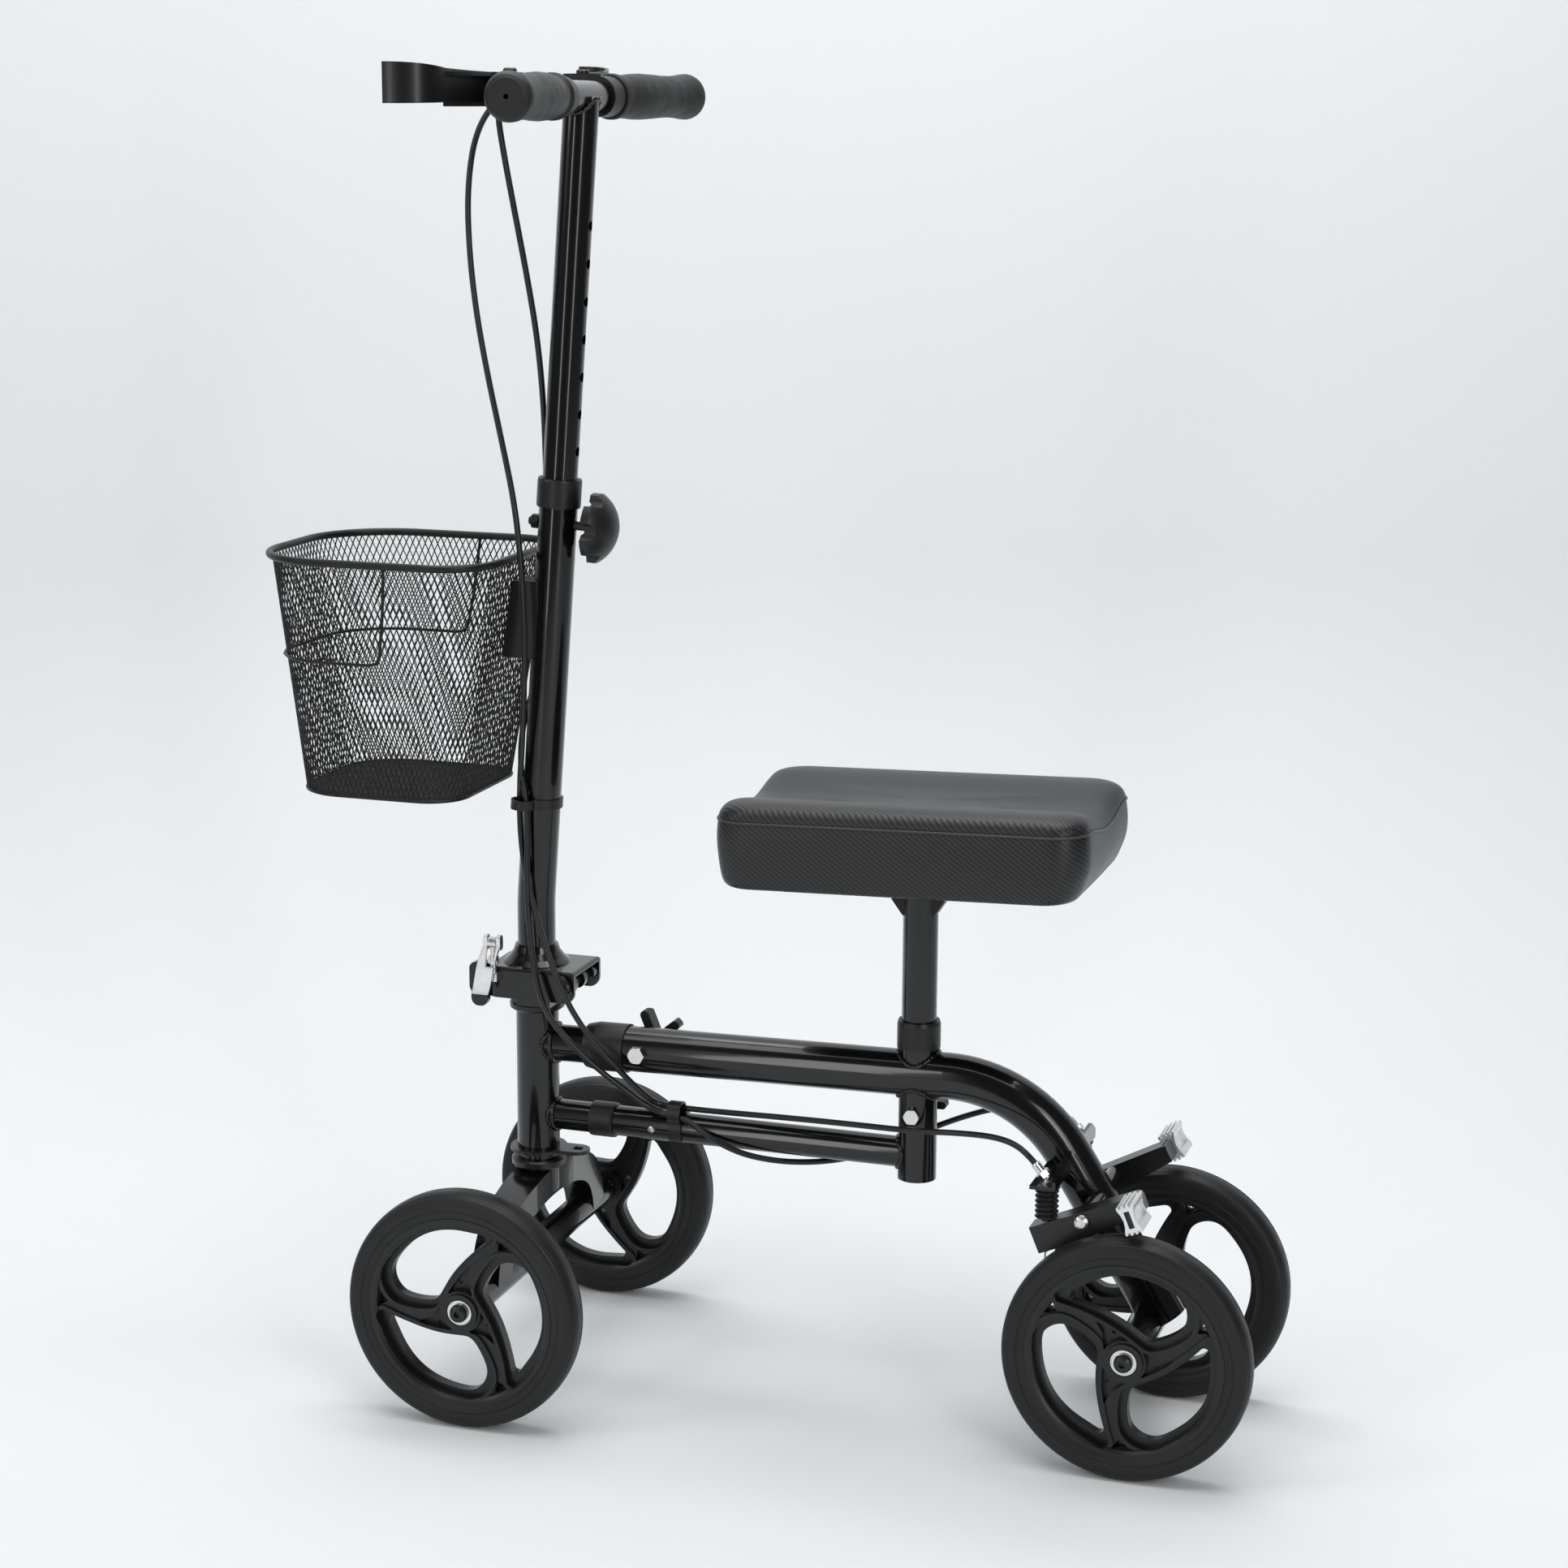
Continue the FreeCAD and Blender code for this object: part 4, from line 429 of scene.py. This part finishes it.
CX, HX = (PX0 + PX1) / 2, (PX1 - PX0) / 2
levels = [(40, 0.0), (16, 0.0), (9, 0.0), (5.2, 1.4), (3.2, 4.5), (1.8, 10), (0.8, 18), (0.0, 28), (-0.6, 38), (-0.6, 48), (0.0, 55), (0.4, 59.5), (1.5, 61.4), (0.9, 63.0), (1.4, 65.5), (2.6, 68.6), (5.0, 72.0), (8.6, 74.8), (14.0, 76.7), (22.0, 77.5)]
verts, faces, uvs = [], [], []
first = None
nper = 176
base_pts = rounded(HX, PY, 27.0, nper)
cum = [0.0]
for i in range(nper):
    a, b_ = base_pts[i], base_pts[(i + 1) % nper]
    cum.append(cum[-1] + math.dist(a, b_))
for inset, zz in levels:
    ring = rounded(HX - inset, PY - inset, max(27.0 - max(inset, 0) * 0.5, 5.0), nper)
    for i, (x, y) in enumerate(ring):
        top = crest(y)
        z = ZB + zz * (top - ZB) / 77.5
        # the rear end leans in towards the bottom, and the sides pull in a little midway along
        lean = smooth(0.2, 1.0, (-x) / HX) * max(0.0, (30 - zz)) * 0.27
        side_pull = 1.0 - 0.008 * (1 - abs(x / HX) ** 2) * (1 if abs(y) > PY * 0.8 else 0)
        verts.append(P(CX + x + lean, y * side_pull, z))
for j in range(len(levels) - 1):
    for i in range(nper):
        i2 = (i + 1) % nper
        faces.append((j * nper + i, j * nper + i2, (j + 1) * nper + i2, (j + 1) * nper + i))
# top surface: a grid joined to the last ring
last = len(levels) - 1
step = list(range(last * nper, (last + 1) * nper))
for inset in (32.0, 40.0, 48.0, 56.0, 63.0):
    ring = rounded(HX - inset, PY - inset, 5.0, nper)
    base_i = len(verts)
    for x, y in ring:
        verts.append(P(CX + x, y, crest(y)))
    for i in range(nper):
        i2 = (i + 1) % nper
        faces.append((step[i], step[i2], base_i + i2, base_i + i))
    step = list(range(base_i, base_i + nper))
faces.append(tuple(step))
faces.append(tuple(range(nper))[::-1])
tilt = Matrix.Translation(P(197, 0, 424.2)) @ Matrix.Rotation(math.radians(1.7), 4, "Y") @ Matrix.Translation(-P(197, 0, 424.2))
rest_v = [Vector(v) for v in verts]
verts = [tilt @ v for v in verts]
pad = finish_mesh(mesh_object("knee_pad_cover", verts, faces, "vinyl"))
uv = pad.data.uv_layers.new(name="twill")
bm = bmesh.new()
bm.from_mesh(pad.data)
bm.verts.ensure_lookup_table()
ul = bm.loops.layers.uv["twill"]
for fc in bm.faces:
    nrm = fc.normal
    for lp in fc.loops:
        c = rest_v[lp.vert.index]
        if abs(nrm.z) > 0.62:
            lp[ul].uv = (c.x, -c.y)
        elif abs(nrm.y) > abs(nrm.x):
            lp[ul].uv = (c.x, c.z)
        else:
            lp[ul].uv = (c.y, c.z)
bm.to_mesh(pad.data)
bm.free()
sub = pad.modifiers.new("soft", "SUBSURF")
sub.levels = sub.render_levels = 1
sub.boundary_smooth = "PRESERVE_CORNERS"
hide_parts("pad_cushion")
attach(pad, "seat")
pipe_ring = rounded(HX - 0.6, PY - 0.6, 27.0, nper)
piping = []
for x, y in pipe_ring:
    z = ZB + 61.2 * (crest(y) - ZB) / 77.5
    side_pull = 1.0 - 0.008 * (1 - abs(x / HX) ** 2) * (1 if abs(y) > PY * 0.8 else 0)
    piping.append(tilt @ P(CX + x, y * side_pull, z))
pp = wire("knee_pad_piping", [piping], 0.0011, "vinyl", cyclic=True, res=3)
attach(pp, "seat")

# ---------------------------------------------------------------- rubber bellows
for side, body, node, zb in ((1, "brake_arm_left", "bellows_left", 196.6), (-1, "brake_arm_right", "bellows_right", 193.6)):
    h_ = 223.6 - zb
    prof = [(0.0050, 0.0)]
    n = 6
    for i in range(n):
        z0 = h_ * i / n * 0.93
        z1 = h_ * (i + 1) / n * 0.93
        prof += [(0.0062, (z0 + 0.12 * (z1 - z0)) / 1000), (0.0090, (z0 + 0.38 * (z1 - z0)) / 1000), (0.0096, (z0 + 0.54 * (z1 - z0)) / 1000), (0.0089, (z0 + 0.70 * (z1 - z0)) / 1000), (0.0062, (z0 + 0.96 * (z1 - z0)) / 1000)]
    prof += [(0.0098, h_ * 0.945 / 1000), (0.0104, h_ * 0.97 / 1000), (0.0104, h_ / 1000), (0.0050, h_ / 1000)]
    bl = lathe(node + "_rubber", prof, P(73.5, side * 59, zb), "bellows_rubber", n=36)
    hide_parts(node)
    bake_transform(bl)

# ---------------------------------------------------------------- weld beads
def weld(name, pts, radius, body):
    o = wire(name, [pts], radius, "gloss_black", cyclic=True, res=3)
    cu = o.data
    for i, p in enumerate(cu.splines[0].points):
        p.radius = 1.0 + 0.16 * math.sin(i * 1.9) + 0.07 * random.uniform(-1, 1)
    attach(o, body)


N = 90
ring_pts = []
for sgn, nm in ((1, "top"), (-1, "under")):
    pts = []
    for i in range(N):
        a = 2 * math.pi * i / N
        x, y = 197 + 16.3 * math.cos(a), 16.3 * math.sin(a)
        zc = 286.5 + (197 - x) * 6.0 / 364.3
        pts.append(P(x, y, zc + sgn * math.sqrt(max(19.05 ** 2 - y * y, 4))))
    weld("weld_seat_tube_" + nm, pts, 0.0021, "frame")
pts = []
for i in range(N):
    a = 2 * math.pi * i / N
    y, z = 15.8 * math.cos(a), 281.2 + 15.8 * math.sin(a)
    pts.append(P(532 - math.sqrt(max(18.2 ** 2 - y * y, 4)) - 0.6, y, z))
weld("weld_head_upper", pts, 0.0020, "frame")
pts = []
for i in range(N):
    a = 2 * math.pi * i / N
    y, z = 13.0 * math.cos(a), 218 + 13.0 * math.sin(a)
    pts.append(P(532 - math.sqrt(max(18.2 ** 2 - y * y, 4)) - 0.4, y, z))
weld("weld_head_lower", pts, 0.0018, "frame")
pts = []
for i in range(N):
    a = 2 * math.pi * i / N
    y, z = 13.0 * math.cos(a), 218 + 13.0 * math.sin(a)
    pts.append(P(197 + math.sqrt(max(15.9 ** 2 - y * y, 4)) + 0.4, y, z))
weld("weld_seat_lower", pts, 0.0018, "frame")
pts = []
for i in range(N):
    a = 2 * math.pi * i / N
    x0_, y0_ = 14.5 * math.cos(a), 14.5 * math.sin(a)
    zc = 1064 - math.sqrt(max(12.75 ** 2 - x0_ * x0_, 3.0))
    xc = 507.2 + (759.5 - zc) * math.tan(math.radians(4))
    pts.append(P(xc + x0_, y0_, zc))
weld("weld_handlebar", pts, 0.0019, "handle")

# ---------------------------------------------------------------- backdrop and light
bmat = bpy.data.materials.new("backdrop")
bmat.use_nodes = True
bb = bmat.node_tree.nodes["Principled BSDF"]
bb.inputs["Base Color"].default_value = (0.81, 0.830, 0.840, 1)
bb.inputs["Roughness"].default_value = 0.95
bb.inputs["Specular IOR Level"].default_value = 0.1
M["backdrop"] = bmat
prof = [(3.2, 0.0)]
yb = -0.52
for i in range(0, 13):
    a = math.pi / 2 * i / 12
    prof.append((yb - 0.55 * math.sin(a) + 0.0, 0.55 * (1 - math.cos(a))))
prof.append((yb - 0.55, 4.2))
ax_d = Vector((math.sin(yaw), -math.cos(yaw), 0))      # away from the camera
ax_r = Vector((math.cos(yaw), math.sin(yaw), 0)) * -1
verts, faces = [], []
for y, z in prof:
    for s in (-5.0, 5.0):
        p = ax_d * (-y) + ax_r * s
        verts.append((p.x, p.y, z))
for i in range(len(prof) - 1):
    faces.append((2 * i, 2 * i + 1, 2 * i + 3, 2 * i + 2))
floor = mesh_object("studio_floor", verts, faces, "backdrop")


def area(name, loc, target, size, size_y, power, color=(1, 1, 1)):
    li = bpy.data.lights.new(name, "AREA")
    li.shape = "RECTANGLE"
    li.size, li.size_y = size, size_y
    li.energy = power
    li.color = color
    o = bpy.data.objects.new(name, li)
    coll.objects.link(o)
    o.location = loc
    o.rotation_mode = "QUATERNION"
    o.rotation_quaternion = (Vector(target) - Vector(loc)).to_track_quat("-Z", "Y")
    o.visible_camera = False
    return o


area("overhead", (0.0, 0.3, 3.1), (0, 0.05, 0.3), 2.6, 2.2, 58, (1.0, 1.0, 1.0))
area("left_box", (2.4, 1.9, 1.9), (0.1, 0, 0.5), 0.9, 1.8, 16)
area("right_box", (-2.4, 2.2, 2.0), (-0.1, 0, 0.5), 0.9, 1.8, 18)
area("strip_left", (0.85, 2.8, 1.1), (0.1, 0, 0.6), 0.35, 2.0, 12)
area("strip_right", (-1.95, 2.25, 1.1), (-0.1, 0, 0.6), 0.35, 2.0, 12)
back_wash = area("back_wash", (0.3, -0.55, 2.6), (0.2, -1.1, 0.5), 3.0, 0.5, 15, (0.97, 0.985, 1.0))
w = bpy.data.worlds.new("studio")
scene.world = w
w.use_nodes = True
w.node_tree.nodes["Background"].inputs["Color"].default_value = (0.93, 0.965, 1.0, 1)
w.node_tree.nodes["Background"].inputs["Strength"].default_value = 0.10
